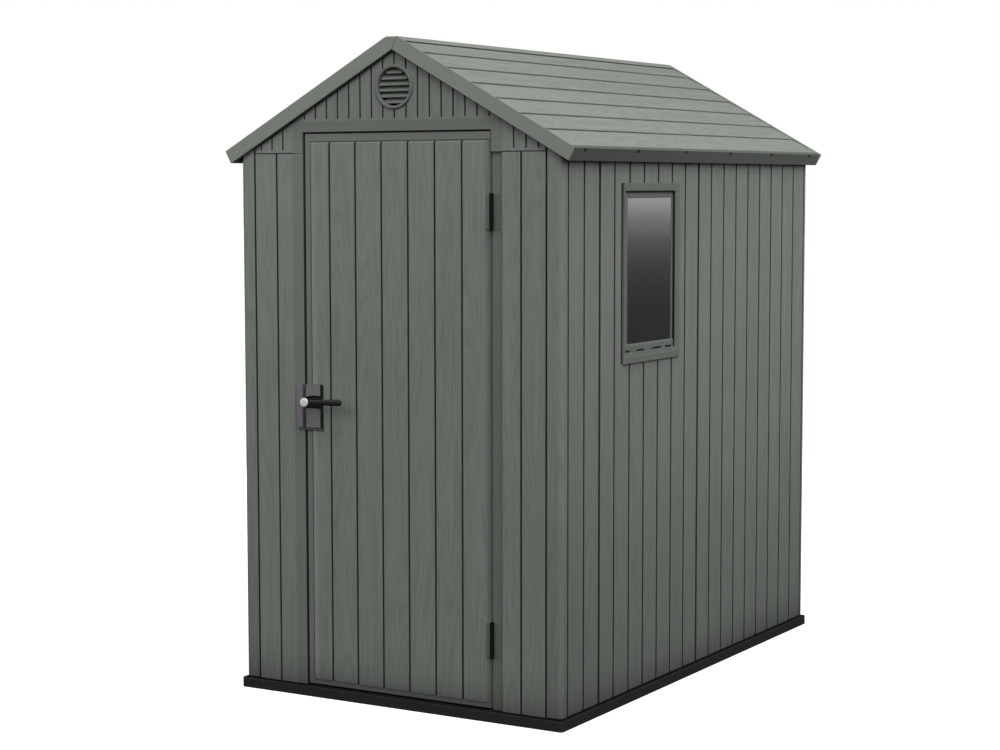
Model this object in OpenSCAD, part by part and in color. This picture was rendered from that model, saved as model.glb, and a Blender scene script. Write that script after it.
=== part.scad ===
// Plastic tool shed: a moulded floor, boarded twin-skin wall panels between corner posts,
// a gabled roof with barge boards and eave trims, a hinged front door and a fixed side window.
// Millimetres. +Z is up, the front with the door faces -Y, the window side faces +X.
// The origin is on the ground, under the middle of the walls.

/* [Building] */
// Outside width across the two side walls
wall_w = 1158; // [900:1:1500]
// Outside depth across the two gable walls
wall_d = 1816; // [1450:1:2400]
// Height from the ground to the crown of the roof
total_h = 2050; // [1700:1:2500]
// Thickness of a wall panel
wall_t = 20; // [14:1:26]

/* [Floor] */
// Height of the floor panels
floor_h = 32; // [20:1:60]
// How far the floor reaches past a side wall
floor_side_lip = 10; // [2:1:30]
// How far the floor reaches past a gable wall
floor_end_lip = 14; // [2:1:30]
// Corner radius of the floor
floor_r = 12; // [4:1:30]
// Distance of the joint between the floor panels in front of the middle
floor_seam = 110; // [20:5:300]

/* [Corner posts] */
// Width of a post on the gable walls
post_end_w = 50; // [40:1:80]
// Width of a front post on the side walls
post_front_w = 36; // [30:1:60]
// Width of a rear post on the side walls
post_rear_w = 26; // [26:1:60]
// Radius of the rounded outer corner
post_r = 15; // [5:1:20]

/* [Roof] */
// Pitch of the roof in degrees
roof_slope = 29; // [20:1:40]
// Overhang of the roof past a side wall
eave_overhang = 50; // [30:1:120]
// Width of the flat crown along the ridge
crown_w = 42; // [20:1:60]
// Thickness of a roof panel
roof_t = 16; // [10:1:24]
// Depth of the lapped roof courses above the panel
course_t = 6; // [4:1:10]
// Width of the ridge cap down each slope
ridge_cap_w = 124; // [80:1:200]
// Depth of the roof edge, square to the slope
edge_depth = 44; // [34:1:80]
// Thickness of a barge board
barge_t = 14.5; // [10:0.5:30]
// Thickness of an eave trim, along the slope
eave_t = 14; // [8:1:30]
// Width and height of the steel ridge beam
beam_size = 30; // [20:1:50]
// Wall of the steel ridge beam
beam_wall = 2; // [1:0.5:4]

/* [Door] */
// Width of the door leaf
door_w = 672; // [500:1:700]
// Thickness of the door leaf
door_t = 25; // [20:1:30]
// Running gap beside and over the door leaf
door_gap = 5; // [5:0.5:10]
// Gap between the floor and the door leaf
door_foot_gap = 8; // [6:1:20]
// Width of a door jamb
jamb_w = 36; // [30:1:60]
// Depth of a door jamb, front to back
jamb_d = 34; // [30:1:50]
// How far the jambs are set back from the wall face
jamb_recess = 8; // [6:1:10]
// Width of the stop behind the door leaf
stop_w = 15; // [10:1:25]
// Height of the band over the door
head_h = 40; // [25:1:60]
// Height of the tabs that run down from the band
tab_h = 65; // [40:1:100]
// Space between the band's upper corners and the roof
head_margin = 19; // [10:1:60]
// Least space between the band and the vent's ring
head_vent_gap = 10; // [5:1:40]

/* [Hinges] */
// Radius of the hinge barrel
barrel_r = 6.2; // [5:0.1:8]
// Radius of the hinge pin
pin_r = 3; // [2:0.1:4]
// Length of the hinge barrel
barrel_len = 110; // [80:1:150]
// Length of the middle knuckle, on the door
door_knuckle_len = 40; // [20:1:60]
// Height of the middle of the lower hinge above the ground
lower_hinge_z = 249; // [150:1:400]
// Distance of the middle of the upper hinge below the top of the door
upper_hinge_drop = 236; // [150:1:400]
// Distance of the hinge line outside the door's edge
hinge_offset = 8; // [7:0.5:10]
// Thickness of a hinge leaf
leaf_t = 3; // [2:0.5:4]
// Width of a hinge leaf
leaf_w = 20; // [12:1:24]

/* [Lock] */
// Width of the lock case
case_w = 60; // [45:1:80]
// Height of the lock case
case_h = 137; // [100:1:180]
// Thickness of the lock case's back plate
case_plate_t = 4; // [3:0.5:8]
// Height of the raised blocks above the back plate
case_block_t = 8; // [5:0.5:14]
// Height of the middle of the lever above the ground
lever_z = 936; // [800:1:1100]
// Distance of the top of the lock case above the middle of the lever
case_rise = 47; // [35:1:60]
// Height of the slot that the lever turns in
lever_slot_h = 38; // [34:1:50]
// Radius of the lever's hub
hub_r = 11; // [8:0.5:14]
// Distance of the hub's end from the door face
hub_reach = 50; // [40:1:70]
// Length of the lever from its axis to its tip
lever_len = 134; // [100:1:170]
// Height of the lever
lever_h = 22; // [16:1:28]
// Thickness of the lever
lever_t = 14; // [10:1:18]
// Radius of the lock cylinder's cap
cylinder_r = 15; // [10:0.5:16]
// Thickness of the lock cylinder's cap
cylinder_t = 8; // [5:0.5:12]
// Radius of the lever's spindle
spindle_r = 5; // [3:0.5:7]
// Width of the keeper on the jamb
keeper_w = 24; // [16:1:30]
// Radial clearance of a pin or spindle in its bore
pin_clear = 0.08; // [0.02:0.01:0.1]
// Clearance between faces that slide on each other
face_clear = 0.4; // [0.3:0.1:1]

/* [Window] */
// Distance of the window's middle in front of the middle of the wall
window_ahead = 338; // [300:1:420]
// Width of the window frame
window_w = 384; // [280:1:420]
// Height of the window frame
window_h = 560; // [350:1:700]
// Distance of the top of the window frame below the eave
window_drop = 101; // [90:1:200]
// Width of the frame's stiles and top rail
stile_w = 29; // [20:1:40]
// Height of the frame's sill
sill_h = 42; // [30:1:60]
// How far the frame stands out of the wall face
window_proud = 6; // [3:1:12]
// How far the sill stands out of the wall face
sill_proud = 14; // [8:1:30]
// Width of the flange that laps onto the wall
window_flange = 10; // [6:1:16]
// Thickness of the window pane
pane_t = 4; // [3:0.5:6]
// Distance of the pane's outer face behind the wall face
pane_recess = 5; // [4:0.5:8]
// Wall left on each side of the window frame in its panel
window_margin = 51.5; // [30:0.5:100]

/* [Vents] */
// Radius of the vent opening
vent_r = 57; // [40:1:70]
// Width of the ring around the opening
vent_ring_w = 10; // [6:1:16]
// How far the ring stands out of the wall face
vent_proud = 6; // [3:1:10]
// Wall of the sleeve that passes through the gable
vent_wall = 3; // [2:0.5:5]
// Height of the middle of the vents below the crown
vent_drop = 149; // [130:1:200]
// Distance between louvres
louvre_pitch = 17.8; // [14:0.1:24]
// Thickness of a louvre
louvre_t = 3; // [2:0.5:5]
// Depth of a louvre
louvre_d = 16; // [10:1:18]
// Tilt of the louvres in degrees
louvre_tilt = 40; // [20:1:50]
// Number of louvres in a vent
louvre_count = 6; // [4:1:7]

/* [Hidden] */

wall_colour = "#6d746b";
roof_colour = "#7d847b";
floor_colour = "#2b2b2d";
black_colour = "#1d1d1f";
grey_colour = "#5c5b5f";

round_fn = 96;
small_fn = 48;
cut = 1;                                    // how far a cutting shape runs past a face

// Half sizes of the walls
half_w = wall_w / 2;
half_d = wall_d / 2;

// Roof lines: u runs down the slope from the virtual ridge, v stands square to the slope
slope_cos = cos(roof_slope);
slope_sin = sin(roof_slope);
slope_tan = tan(roof_slope);
ridge_z = total_h + crown_w / 2 * slope_tan;
roof_half_w = half_w + eave_overhang;
slope_len = roof_half_w / slope_cos;
under_v = -(course_t + roof_t);             // underside of the roof panels
crown_under_z = total_h - course_t;         // underside of the ridge cap's crown
barge_y = half_d + barge_t;                 // outer face of the barge boards

// Door and its frame
leaf_half = door_w / 2;
open_half = leaf_half + door_gap;
frame_half = open_half + jamb_w;
vent_z = total_h - vent_drop;
head_top = min(under_z(frame_half) - head_margin, vent_z - vent_r - vent_ring_w - head_vent_gap);
open_top = head_top - head_h;
panel_top = open_top - tab_h;
leaf_foot = floor_h + door_foot_gap;
leaf_top = open_top - door_gap;
jamb_face = -half_d + jamb_recess;
jamb_back = jamb_face + jamb_d;
stop_face = -half_d + door_t + door_gap;
post_x = half_w - post_end_w;

// Hinge line
hinge_x = leaf_half + hinge_offset;
hinge_y = -half_d - barrel_r - face_clear;
upper_hinge_z = leaf_top - upper_hinge_drop;
frame_knuckle_len = (barrel_len - door_knuckle_len) / 2 - face_clear;

// Lock
case_x = -leaf_half + 1;
lever_x = case_x + case_w / 2;
case_top = lever_z + case_rise;
case_foot = case_top - case_h;
plate_y = -half_d - case_plate_t;
hub_end_y = -half_d - hub_reach;

// Window and the panels of the right-hand wall, front to rear
window_y = -window_ahead;
window_top = ridge_z - roof_half_w * slope_tan - window_drop;
window_foot = window_top - window_h;
window_panel_w = window_w + 2 * window_margin;
side_front = -half_d + post_front_w;
side_rear = half_d - post_rear_w;
side_seam_1 = window_y - window_panel_w / 2;
side_seam_2 = window_y + window_panel_w / 2;
side_seam_3 = (side_seam_2 + side_rear) / 2;
open_w = window_w - 2 * stile_w;
open_foot = window_foot + sill_h;
open_h = window_h - sill_h - stile_w;

// The left-hand wall has three panels of about the same width, with ends on whole millimetres
left_ends = [
    side_front, round((2 * side_front + side_rear) / 3), round((side_front + 2 * side_rear) / 3), side_rear
];

// Height of the underside of the roof panels at a distance x from the middle
function under_z(x) = ridge_z + under_v / slope_cos - x * slope_tan;

// A point on the right-hand slope, as [x, z]
function slope_pt(u, v) = [u * slope_cos + v * slope_sin, ridge_z - u * slope_sin + v * slope_cos];

function flip(points) = [for (p = points) [-p[0], p[1]]];

// A bar along Y with an outline in X and Z
module bar_y(y0, y1, points) {
    translate([0, y1, 0])
        rotate([90, 0, 0])
            linear_extrude(y1 - y0)
                polygon(points);
}

// A box given by its low and high corners
module box(low, high) {
    translate(low)
        cube(high - low);
}

// A cylinder along Y from y0 to y1 around the point [x, z]
module rod_y(y0, y1, x, z, r, fn) {
    translate([x, y1, z])
        rotate([90, 0, 0])
            cylinder(h = y1 - y0, r = r, $fn = fn);
}

// Everything below the roof panels, as a solid to trim posts and panels with
module under_roof() {
    reach = roof_half_w;
    bar_y(-barge_y, barge_y, [
        [0, under_z(0)], [reach, under_z(reach)], [reach, 0], [-reach, 0], [-reach, under_z(reach)]
    ]);
}

module under_roof_only() {
    intersection() {
        children();
        under_roof();
    }
}

// ---------------------------------------------------------------- floor

module rounded_plan(size, r) {
    translate([-size[0] / 2, -size[1] / 2]) {
        translate([r, 0])
            square([size[0] - 2 * r, size[1]]);
        translate([0, r])
            square([size[0], size[1] - 2 * r]);
        for (x = [r, size[0] - r], y = [r, size[1] - r])
            translate([x, y])
                circle(r, $fn = small_fn);
    }
}

module floor_panel(y0, y1) {
    plan = [wall_w + 2 * floor_side_lip, wall_d + 2 * floor_end_lip];
    color(floor_colour)
        linear_extrude(floor_h)
            intersection() {
                rounded_plan(plan, floor_r);
                translate([-plan[0], y0])
                    square([2 * plan[0], y1 - y0]);
            }
}

module floor_front() {
    floor_panel(-half_d - 2 * floor_end_lip, -floor_seam);
}

module floor_rear() {
    floor_panel(-floor_seam, half_d + 2 * floor_end_lip);
}

// ---------------------------------------------------------------- walls

// Section of a post, with its outer corner at the origin
module post_section(end_w, side_w) {
    difference() {
        union() {
            translate([post_r, 0])
                square([end_w - post_r, wall_t]);
            translate([0, post_r])
                square([wall_t, side_w - post_r]);
            intersection() {
                translate([post_r, post_r])
                    circle(post_r, $fn = small_fn);
                square(post_r);
            }
        }
        translate([wall_t, wall_t])
            square([end_w, side_w]);
    }
}

// A post at the front left corner; side_w is its width on the side wall
module corner_post(side_w) {
    color(wall_colour)
        under_roof_only()
            translate([-half_w, -half_d, floor_h])
                linear_extrude(total_h)
                    post_section(post_end_w, side_w);
}

module corner_post_front_left() {
    corner_post(post_front_w);
}

module corner_post_front_right() {
    mirror([1, 0, 0])
        corner_post(post_front_w);
}

module corner_post_rear_left() {
    mirror([0, 1, 0])
        corner_post(post_rear_w);
}

module corner_post_rear_right() {
    mirror([1, 0, 0])
        mirror([0, 1, 0])
            corner_post(post_rear_w);
}

module front_panel_right() {
    color(wall_colour)
        under_roof_only()
            box([frame_half, -half_d, floor_h], [post_x, -half_d + wall_t, panel_top]);
}

module front_panel_left() {
    mirror([1, 0, 0])
        front_panel_right();
}

// A jamb is set back from the wall face and carries the stop behind the door leaf
module jamb_right() {
    color(wall_colour)
        under_roof_only() {
            union() {
                box([open_half, jamb_face, floor_h], [frame_half, jamb_back, panel_top]);
                box([open_half - stop_w, stop_face, floor_h], [open_half + cut, jamb_back, panel_top]);
            }
        }
}

module jamb_left() {
    mirror([1, 0, 0])
        jamb_right();
}

// The band over the door with a tab at each end and a stop around the top of the opening
module door_head() {
    stop_half = open_half - stop_w;
    color(wall_colour)
        difference() {
            box([-frame_half, -half_d, panel_top], [frame_half, jamb_back, head_top]);
            box([-open_half, -half_d - cut, panel_top - cut], [open_half, stop_face, open_top]);
            box([-stop_half, -half_d - cut, panel_top - cut],
                [stop_half, jamb_back + cut, open_top - stop_w]);
        }
}

// A gable above the wall panels, trimmed by the roof; the cut-out is for what stands in it
module gable_blank() {
    difference() {
        under_roof_only()
            box([-post_x, -half_d, panel_top], [post_x, -half_d + wall_t, total_h]);
        rod_y(-half_d - cut, -half_d + wall_t + cut, 0, vent_z, vent_r + vent_wall, round_fn);
    }
}

module front_gable() {
    color(wall_colour)
        difference() {
            gable_blank();
            box([-frame_half, -half_d - cut, panel_top - cut], [frame_half, jamb_back, head_top]);
        }
}

module rear_gable() {
    color(wall_colour)
        mirror([0, 1, 0])
            gable_blank();
}

// A stretch of the right-hand side wall from y0 to y1
module side_panel(y0, y1) {
    color(wall_colour)
        under_roof_only()
            box([half_w - wall_t, y0, floor_h], [half_w, y1, total_h]);
}

module right_wall_front() {
    side_panel(side_front, side_seam_1);
}

module right_wall_window() {
    hole_half = window_w / 2 - window_flange;
    color(wall_colour)
        difference() {
            side_panel(side_seam_1, side_seam_2);
            box([half_w - wall_t - cut, window_y - hole_half, window_foot + window_flange],
                [half_w + cut, window_y + hole_half, window_top - window_flange]);
        }
}

module right_wall_middle() {
    side_panel(side_seam_2, side_seam_3);
}

module right_wall_rear() {
    side_panel(side_seam_3, side_rear);
}

// Panel number i of the left-hand wall, counted from the front
module left_panel(i) {
    mirror([1, 0, 0])
        side_panel(left_ends[i], left_ends[i + 1]);
}

module left_wall_front() {
    left_panel(0);
}

module left_wall_middle() {
    left_panel(1);
}

module left_wall_rear() {
    left_panel(2);
}

module back_wall_right() {
    color(wall_colour)
        under_roof_only()
            box([0, half_d - wall_t, floor_h], [post_x, half_d, panel_top]);
}

module back_wall_left() {
    mirror([1, 0, 0])
        back_wall_right();
}

// ---------------------------------------------------------------- vents

// A vent in the front gable: ring, sleeve and tilted louvres in one moulding
module vent() {
    back = -half_d + wall_t;
    middle = (-half_d + back) / 2;
    color(wall_colour) {
        difference() {
            union() {
                rod_y(-half_d - vent_proud, -half_d, 0, vent_z, vent_r + vent_ring_w, round_fn);
                rod_y(-half_d - cut, back, 0, vent_z, vent_r + vent_wall, round_fn);
            }
            rod_y(-half_d - vent_proud - cut, back + cut, 0, vent_z, vent_r, round_fn);
        }
        intersection() {
            rod_y(-half_d - vent_proud, back, 0, vent_z, vent_r + vent_wall / 2, round_fn);
            for (i = [0:louvre_count - 1])
                translate([0, middle, vent_z + (i - (louvre_count - 1) / 2) * louvre_pitch])
                    rotate([louvre_tilt, 0, 0])
                        cube([2 * vent_r + vent_wall, louvre_d, louvre_t], center = true);
        }
    }
}

module vent_front() {
    vent();
}

module vent_rear() {
    mirror([0, 1, 0])
        vent();
}

// ---------------------------------------------------------------- window

module window_frame() {
    inner = half_w - wall_t;
    hole_half = window_w / 2 - window_flange;
    color(wall_colour)
        difference() {
            union() {
                box([half_w, window_y - window_w / 2, window_foot],
                    [half_w + window_proud, window_y + window_w / 2, window_top]);
                box([inner, window_y - hole_half, window_foot + window_flange],
                    [half_w + cut, window_y + hole_half, window_top - window_flange]);
                bar_y(window_y - window_w / 2, window_y + window_w / 2, [
                    [half_w, window_foot], [half_w + sill_proud, window_foot],
                    [half_w + sill_proud, window_foot + sill_h / 2],
                    [half_w + window_proud, open_foot], [half_w, open_foot]
                ]);
            }
            box([inner - cut, window_y - open_w / 2, open_foot],
                [half_w + sill_proud + cut, window_y + open_w / 2, open_foot + open_h]);
        }
}

module window_pane() {
    face = half_w - pane_recess;
    color([0.25, 0.26, 0.27, 0.6])
        box([face - pane_t, window_y - open_w / 2, open_foot],
            [face, window_y + open_w / 2, open_foot + open_h]);
}

// ---------------------------------------------------------------- roof

module roof_right() {
    eave_u = slope_len - eave_t;
    crown_x = (ridge_z - course_t / slope_cos - crown_under_z) / slope_tan;
    color(roof_colour)
        bar_y(-half_d, half_d, [
            [0, under_z(0)], [0, crown_under_z], [crown_x, crown_under_z],
            slope_pt(eave_u, -course_t), slope_pt(eave_u, under_v)
        ]);
}

module roof_left() {
    mirror([1, 0, 0])
        roof_right();
}

module ridge_cap() {
    crown_x = (ridge_z - course_t / slope_cos - crown_under_z) / slope_tan;
    right = [[crown_w / 2, total_h], slope_pt(ridge_cap_w, 0), slope_pt(ridge_cap_w, -course_t),
             [crown_x, crown_under_z]];
    left = flip(right);
    color(roof_colour)
        bar_y(-half_d, half_d, [right[0], right[1], right[2], right[3], left[3], left[2], left[1], left[0]]);
}

// Steel tube under the ridge, with its top shaped to the roof panels
module ridge_beam() {
    half = beam_size / 2;
    top = under_z(0);
    foot = under_z(half) - beam_size;
    color("#8a8d90")
        difference() {
            bar_y(-half_d + wall_t, half_d - wall_t, [
                [0, top], [half, under_z(half)], [half, foot], [-half, foot], [-half, under_z(half)]
            ]);
            box([-half + beam_wall, -half_d, foot + beam_wall],
                [half - beam_wall, half_d, under_z(half) - beam_wall]);
        }
}

// Barge boards meet at a joint that is square to the right-hand slope
module barge_right(y0, y1) {
    color(roof_colour)
        bar_y(y0, y1, [
            [crown_w / 2, total_h], slope_pt(slope_len, 0), slope_pt(slope_len, -edge_depth),
            [0, ridge_z - edge_depth / slope_cos]
        ]);
}

module barge_left(y0, y1) {
    right = [slope_pt(slope_len, 0), slope_pt(slope_len, -edge_depth)];
    left = flip(right);
    color(roof_colour)
        bar_y(y0, y1, [
            [crown_w / 2, total_h], [0, ridge_z - edge_depth / slope_cos], left[1], left[0],
            [-crown_w / 2, total_h]
        ]);
}

module barge_front_left() {
    barge_left(-barge_y, -half_d);
}

module barge_front_right() {
    barge_right(-barge_y, -half_d);
}

module barge_rear_left() {
    barge_left(half_d, barge_y);
}

module barge_rear_right() {
    barge_right(half_d, barge_y);
}

module eave_right() {
    u = slope_len - eave_t;
    color(roof_colour)
        bar_y(-half_d, half_d, [
            slope_pt(u, 0), slope_pt(slope_len, 0),
            slope_pt(slope_len, -edge_depth), slope_pt(u, -edge_depth)
        ]);
}

module eave_left() {
    mirror([1, 0, 0])
        eave_right();
}

// ---------------------------------------------------------------- door

module door_leaf() {
    color(wall_colour)
        box([-leaf_half, -half_d, leaf_foot], [leaf_half, -half_d + door_t, leaf_top]);
}

module knuckle(z, length, bore) {
    difference() {
        translate([hinge_x, hinge_y, z - length / 2])
            cylinder(h = length, r = barrel_r, $fn = small_fn);
        if (bore > 0)
            translate([hinge_x, hinge_y, z - length / 2 - cut])
                cylinder(h = length + 2 * cut, r = bore, $fn = small_fn);
    }
}

// The jamb's half of a hinge: two knuckles with the pin, on a leaf that lies on the jamb
module hinge_frame(z) {
    offset = barrel_len / 2 - frame_knuckle_len / 2;
    color(black_colour)
        union() {
            for (side = [-1, 1]) {
                knuckle(z + side * offset, frame_knuckle_len, 0);
                translate([hinge_x, hinge_y, z + side * offset - frame_knuckle_len / 2])
                    cube([barrel_r, jamb_face - hinge_y, frame_knuckle_len]);
            }
            translate([hinge_x, hinge_y, z - barrel_len / 2])
                cylinder(h = barrel_len, r = pin_r, $fn = small_fn);
            translate([hinge_x, jamb_face - leaf_t, z - barrel_len / 2])
                cube([leaf_w, leaf_t, barrel_len]);
        }
}

// The door's half of a hinge: one knuckle on a leaf that lies on the door face
module hinge_door(z) {
    leaf_x = leaf_half - leaf_w;
    color(black_colour)
        difference() {
            union() {
                knuckle(z, door_knuckle_len, 0);
                translate([leaf_half - leaf_t, -half_d - leaf_t, z - door_knuckle_len / 2])
                    cube([hinge_offset + leaf_t, leaf_t, door_knuckle_len]);
                translate([leaf_x, -half_d - leaf_t, z - barrel_len / 2])
                    cube([leaf_w - leaf_t, leaf_t, barrel_len]);
            }
            translate([hinge_x, hinge_y, z - door_knuckle_len / 2 - cut])
                cylinder(h = door_knuckle_len + 2 * cut, r = pin_r + pin_clear, $fn = small_fn);
        }
}

module hinge_frame_upper() {
    hinge_frame(upper_hinge_z);
}

module hinge_frame_lower() {
    hinge_frame(lower_hinge_z);
}

module hinge_door_upper() {
    hinge_door(upper_hinge_z);
}

module hinge_door_lower() {
    hinge_door(lower_hinge_z);
}

// ---------------------------------------------------------------- lock

// A back plate with a raised block above and below the slot that the lever turns in
module lock_case() {
    block_y = plate_y - case_block_t;
    slot_low = lever_z - lever_slot_h / 2;
    slot_high = lever_z + lever_slot_h / 2;
    color(grey_colour)
        difference() {
            union() {
                box([case_x, plate_y, case_foot], [case_x + case_w, -half_d, case_top]);
                box([case_x, block_y, slot_high], [case_x + case_w, plate_y, case_top]);
                box([case_x, block_y, case_foot], [case_x + case_w, plate_y, slot_low]);
            }
            rod_y(plate_y - cut, -half_d + cut, lever_x, lever_z, spindle_r + pin_clear, small_fn);
        }
}

module lever_handle() {
    arm_back_y = hub_end_y + lever_t;
    color(black_colour) {
        rod_y(hub_end_y, plate_y - face_clear, lever_x, lever_z, hub_r, small_fn);
        rod_y(plate_y - face_clear - cut, -half_d - face_clear, lever_x, lever_z, spindle_r, small_fn);
        box([lever_x, hub_end_y, lever_z - lever_h / 2],
            [lever_x + lever_len - lever_h / 2, arm_back_y, lever_z + lever_h / 2]);
        rod_y(hub_end_y, arm_back_y, lever_x + lever_len - lever_h / 2, lever_z, lever_h / 2, small_fn);
    }
}

module lock_cylinder() {
    color("#c9c9cb")
        rod_y(hub_end_y - cylinder_t, hub_end_y, lever_x, lever_z, cylinder_r, small_fn);
}

// The keeper stands on the jamb beside the lock case
module keeper() {
    color(grey_colour)
        box([-open_half - keeper_w, plate_y - case_block_t, case_foot], [-open_half, jamb_face, case_top]);
}

// ---------------------------------------------------------------- assembly

floor_front();
floor_rear();
corner_post_front_left();
corner_post_front_right();
corner_post_rear_left();
corner_post_rear_right();
front_panel_left();
front_panel_right();
jamb_left();
jamb_right();
door_head();
front_gable();
vent_front();
right_wall_front();
right_wall_window();
right_wall_middle();
right_wall_rear();
left_wall_front();
left_wall_middle();
left_wall_rear();
back_wall_left();
back_wall_right();
rear_gable();
vent_rear();
window_frame();
window_pane();
roof_left();
roof_right();
ridge_cap();
ridge_beam();
barge_front_left();
barge_front_right();
barge_rear_left();
barge_rear_right();
eave_left();
eave_right();
keeper();
hinge_frame_upper();
hinge_frame_lower();
door_leaf();
hinge_door_upper();
hinge_door_lower();
lock_case();
lever_handle();
lock_cylinder();
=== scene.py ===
from math import cos, pi, radians, sin, sqrt, tan

import bmesh
import bpy
from mathutils import Matrix, Vector


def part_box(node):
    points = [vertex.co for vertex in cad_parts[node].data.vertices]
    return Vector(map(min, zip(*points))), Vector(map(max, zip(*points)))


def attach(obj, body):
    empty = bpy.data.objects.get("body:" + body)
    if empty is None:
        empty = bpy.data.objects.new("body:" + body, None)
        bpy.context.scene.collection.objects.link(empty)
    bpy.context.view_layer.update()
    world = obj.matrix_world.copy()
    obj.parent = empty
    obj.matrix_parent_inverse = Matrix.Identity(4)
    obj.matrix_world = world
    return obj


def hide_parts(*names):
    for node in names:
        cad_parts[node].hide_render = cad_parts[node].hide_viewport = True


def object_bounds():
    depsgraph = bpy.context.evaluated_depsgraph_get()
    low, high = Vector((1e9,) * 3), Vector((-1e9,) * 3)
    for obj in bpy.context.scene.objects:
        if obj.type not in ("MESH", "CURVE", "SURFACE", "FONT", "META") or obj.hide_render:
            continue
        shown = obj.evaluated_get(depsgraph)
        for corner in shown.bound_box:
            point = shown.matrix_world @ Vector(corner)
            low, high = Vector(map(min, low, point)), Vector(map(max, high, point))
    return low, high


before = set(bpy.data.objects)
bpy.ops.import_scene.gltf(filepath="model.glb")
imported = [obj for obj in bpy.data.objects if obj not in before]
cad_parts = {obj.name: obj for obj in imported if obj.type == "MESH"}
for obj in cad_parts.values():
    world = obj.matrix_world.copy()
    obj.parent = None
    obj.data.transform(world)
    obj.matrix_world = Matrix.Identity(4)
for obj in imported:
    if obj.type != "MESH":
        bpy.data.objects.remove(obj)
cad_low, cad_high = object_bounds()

MM = 0.001


def mm(*values):
    return tuple(value * MM for value in values)


def low(node):
    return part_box(node)[0]


def high(node):
    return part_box(node)[1]


# ---- sizes

# Walls
HALF_W = high("right_wall_front").x
HALF_D = -low("door_leaf").y
WALL_T = HALF_W - low("right_wall_front").x
FLOOR_H = high("floor_front").z
PANEL_TOP = high("front_panel_right").z
POST_X = high("front_panel_right").x - 3.5 * MM  # seam between a front panel and its corner post
POST_FRONT, POST_REAR = mm(36, 26)  # widths of the corner posts along the side walls
POST_R = 15 * MM
FRAME_HALF = high("door_head").x
HEAD_TOP = high("door_head").z
BAND_TOP = HEAD_TOP - 7 * MM  # where the smooth band over the door meets the gable's boards
FOOT_GAP, FOOT_DEEP = mm(5, 11)  # dark line between a wall's skin and the floor
FRONT_FOOT = 2.5 * MM  # the same gap under the front panels and the jambs
JOINT = 0.8 * MM  # half of the level joint under the gables
SEAM, WIDE_SEAM = mm(3.1, 4.3)  # half of the open joint between two panels, and on the right wall
TONGUE = 8 * MM  # how deep that joint is
EDGE = 0.8 * MM  # chamfer on a panel's edge
EAVE_SHADE = 3.5 * MM  # dark line between a gable's boards and the barge boards
FLANGE = 10 * MM  # a wall reaches this far behind the window's frame
PANEL_GROOVE = 440.6 * MM  # groove in each front panel, from the shed's middle
SIDE_PITCH, SIDE_OFFSET = mm(97.4, 4.8)
WIDE_JOINTS = -7, 0  # the right wall's grooves that are joints between two mouldings
GABLE_PITCH = 41.6 * MM
GROOVE_START, BAND_RISE = mm(10, 6)  # heights over the panels and the band where the grooves start

# Grooves, in millimetres
GROOVE = ((0.6, 0.0), (0.15, 0.4), (0.0, 1.4), (-0.4, 7.0))  # extra half width and depth
FRONT_GROOVE, SIDE_GROOVE, GABLE_GROOVE = 3.1, 4.5, 2.4  # half widths
JOINT_WIDER = 2.0  # added to the half width at the wide joints
LINING_DEPTH = 2.0  # depth of the grooves inside the shed

# Roof: u runs down the slope from the virtual ridge, v stands square to the slope
SLOPE = radians(29)
SIN, COS, TAN = sin(SLOPE), cos(SLOPE), tan(SLOPE)
CROWN_HALF = 21 * MM
COURSE_T, ROOF_T = mm(6, 16)
EAVE_T, EDGE_DEPTH = mm(14, 44)
RIDGE_Z = high("ridge_cap").z + CROWN_HALF * TAN
SLOPE_LEN = high("eave_right").x / COS
UNDER_V = -(COURSE_T + ROOF_T)
CAP_EDGE = 50 * MM  # lower edge of the ridge cap
FIRST_LAP = 121.5 * MM  # lower edge of the highest course
COURSE_PITCH, COURSES = 95.4 * MM, 6

# Door
LEAF_LOW, LEAF_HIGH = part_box("door_leaf")
LEAF_T = LEAF_HIGH.y - LEAF_LOW.y
DOOR_LEFT, DOOR_RIGHT = LEAF_LOW.x + 2 * MM, LEAF_HIGH.x - 1.5 * MM
DOOR_FOOT = LEAF_LOW.z - MM
RIM_RECESS = 4 * MM
VALLEY = 6.2 * MM  # depth of the channel between the rim and the boarded field
DOOR_PITCH, DOOR_GROOVES = 95.6 * MM, 6
DOOR_CENTRE = -1.6 * MM
DOORWAY_HALF = LEAF_HIGH.x + 5 * MM  # edge of both jambs' faces
JAMB_RIGHT = DOORWAY_HALF - 3 * MM  # the right jamb closes up to the door
LEFT_RECESS = 0.8 * MM  # how far the left jamb lies under the skin


def at(x, y, z):
    return Vector((x, y, z))


def under_roof(x):
    return RIDGE_Z + UNDER_V / COS - abs(x) * TAN


def on_slope(u, v, side=1):
    return side * (u * COS + v * SIN), RIDGE_Z - u * SIN + v * COS


# Places on the four walls: t along the wall, height z, and out from its skin
def front(t, z, out):
    return at(t, -HALF_D - out, z)


def back(t, z, out):
    return at(t, HALF_D + out, z)


def right(t, z, out):
    return at(HALF_W + out, t, z)


def left(t, z, out):
    return at(-HALF_W - out, t, z)


# ---- materials

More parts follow.
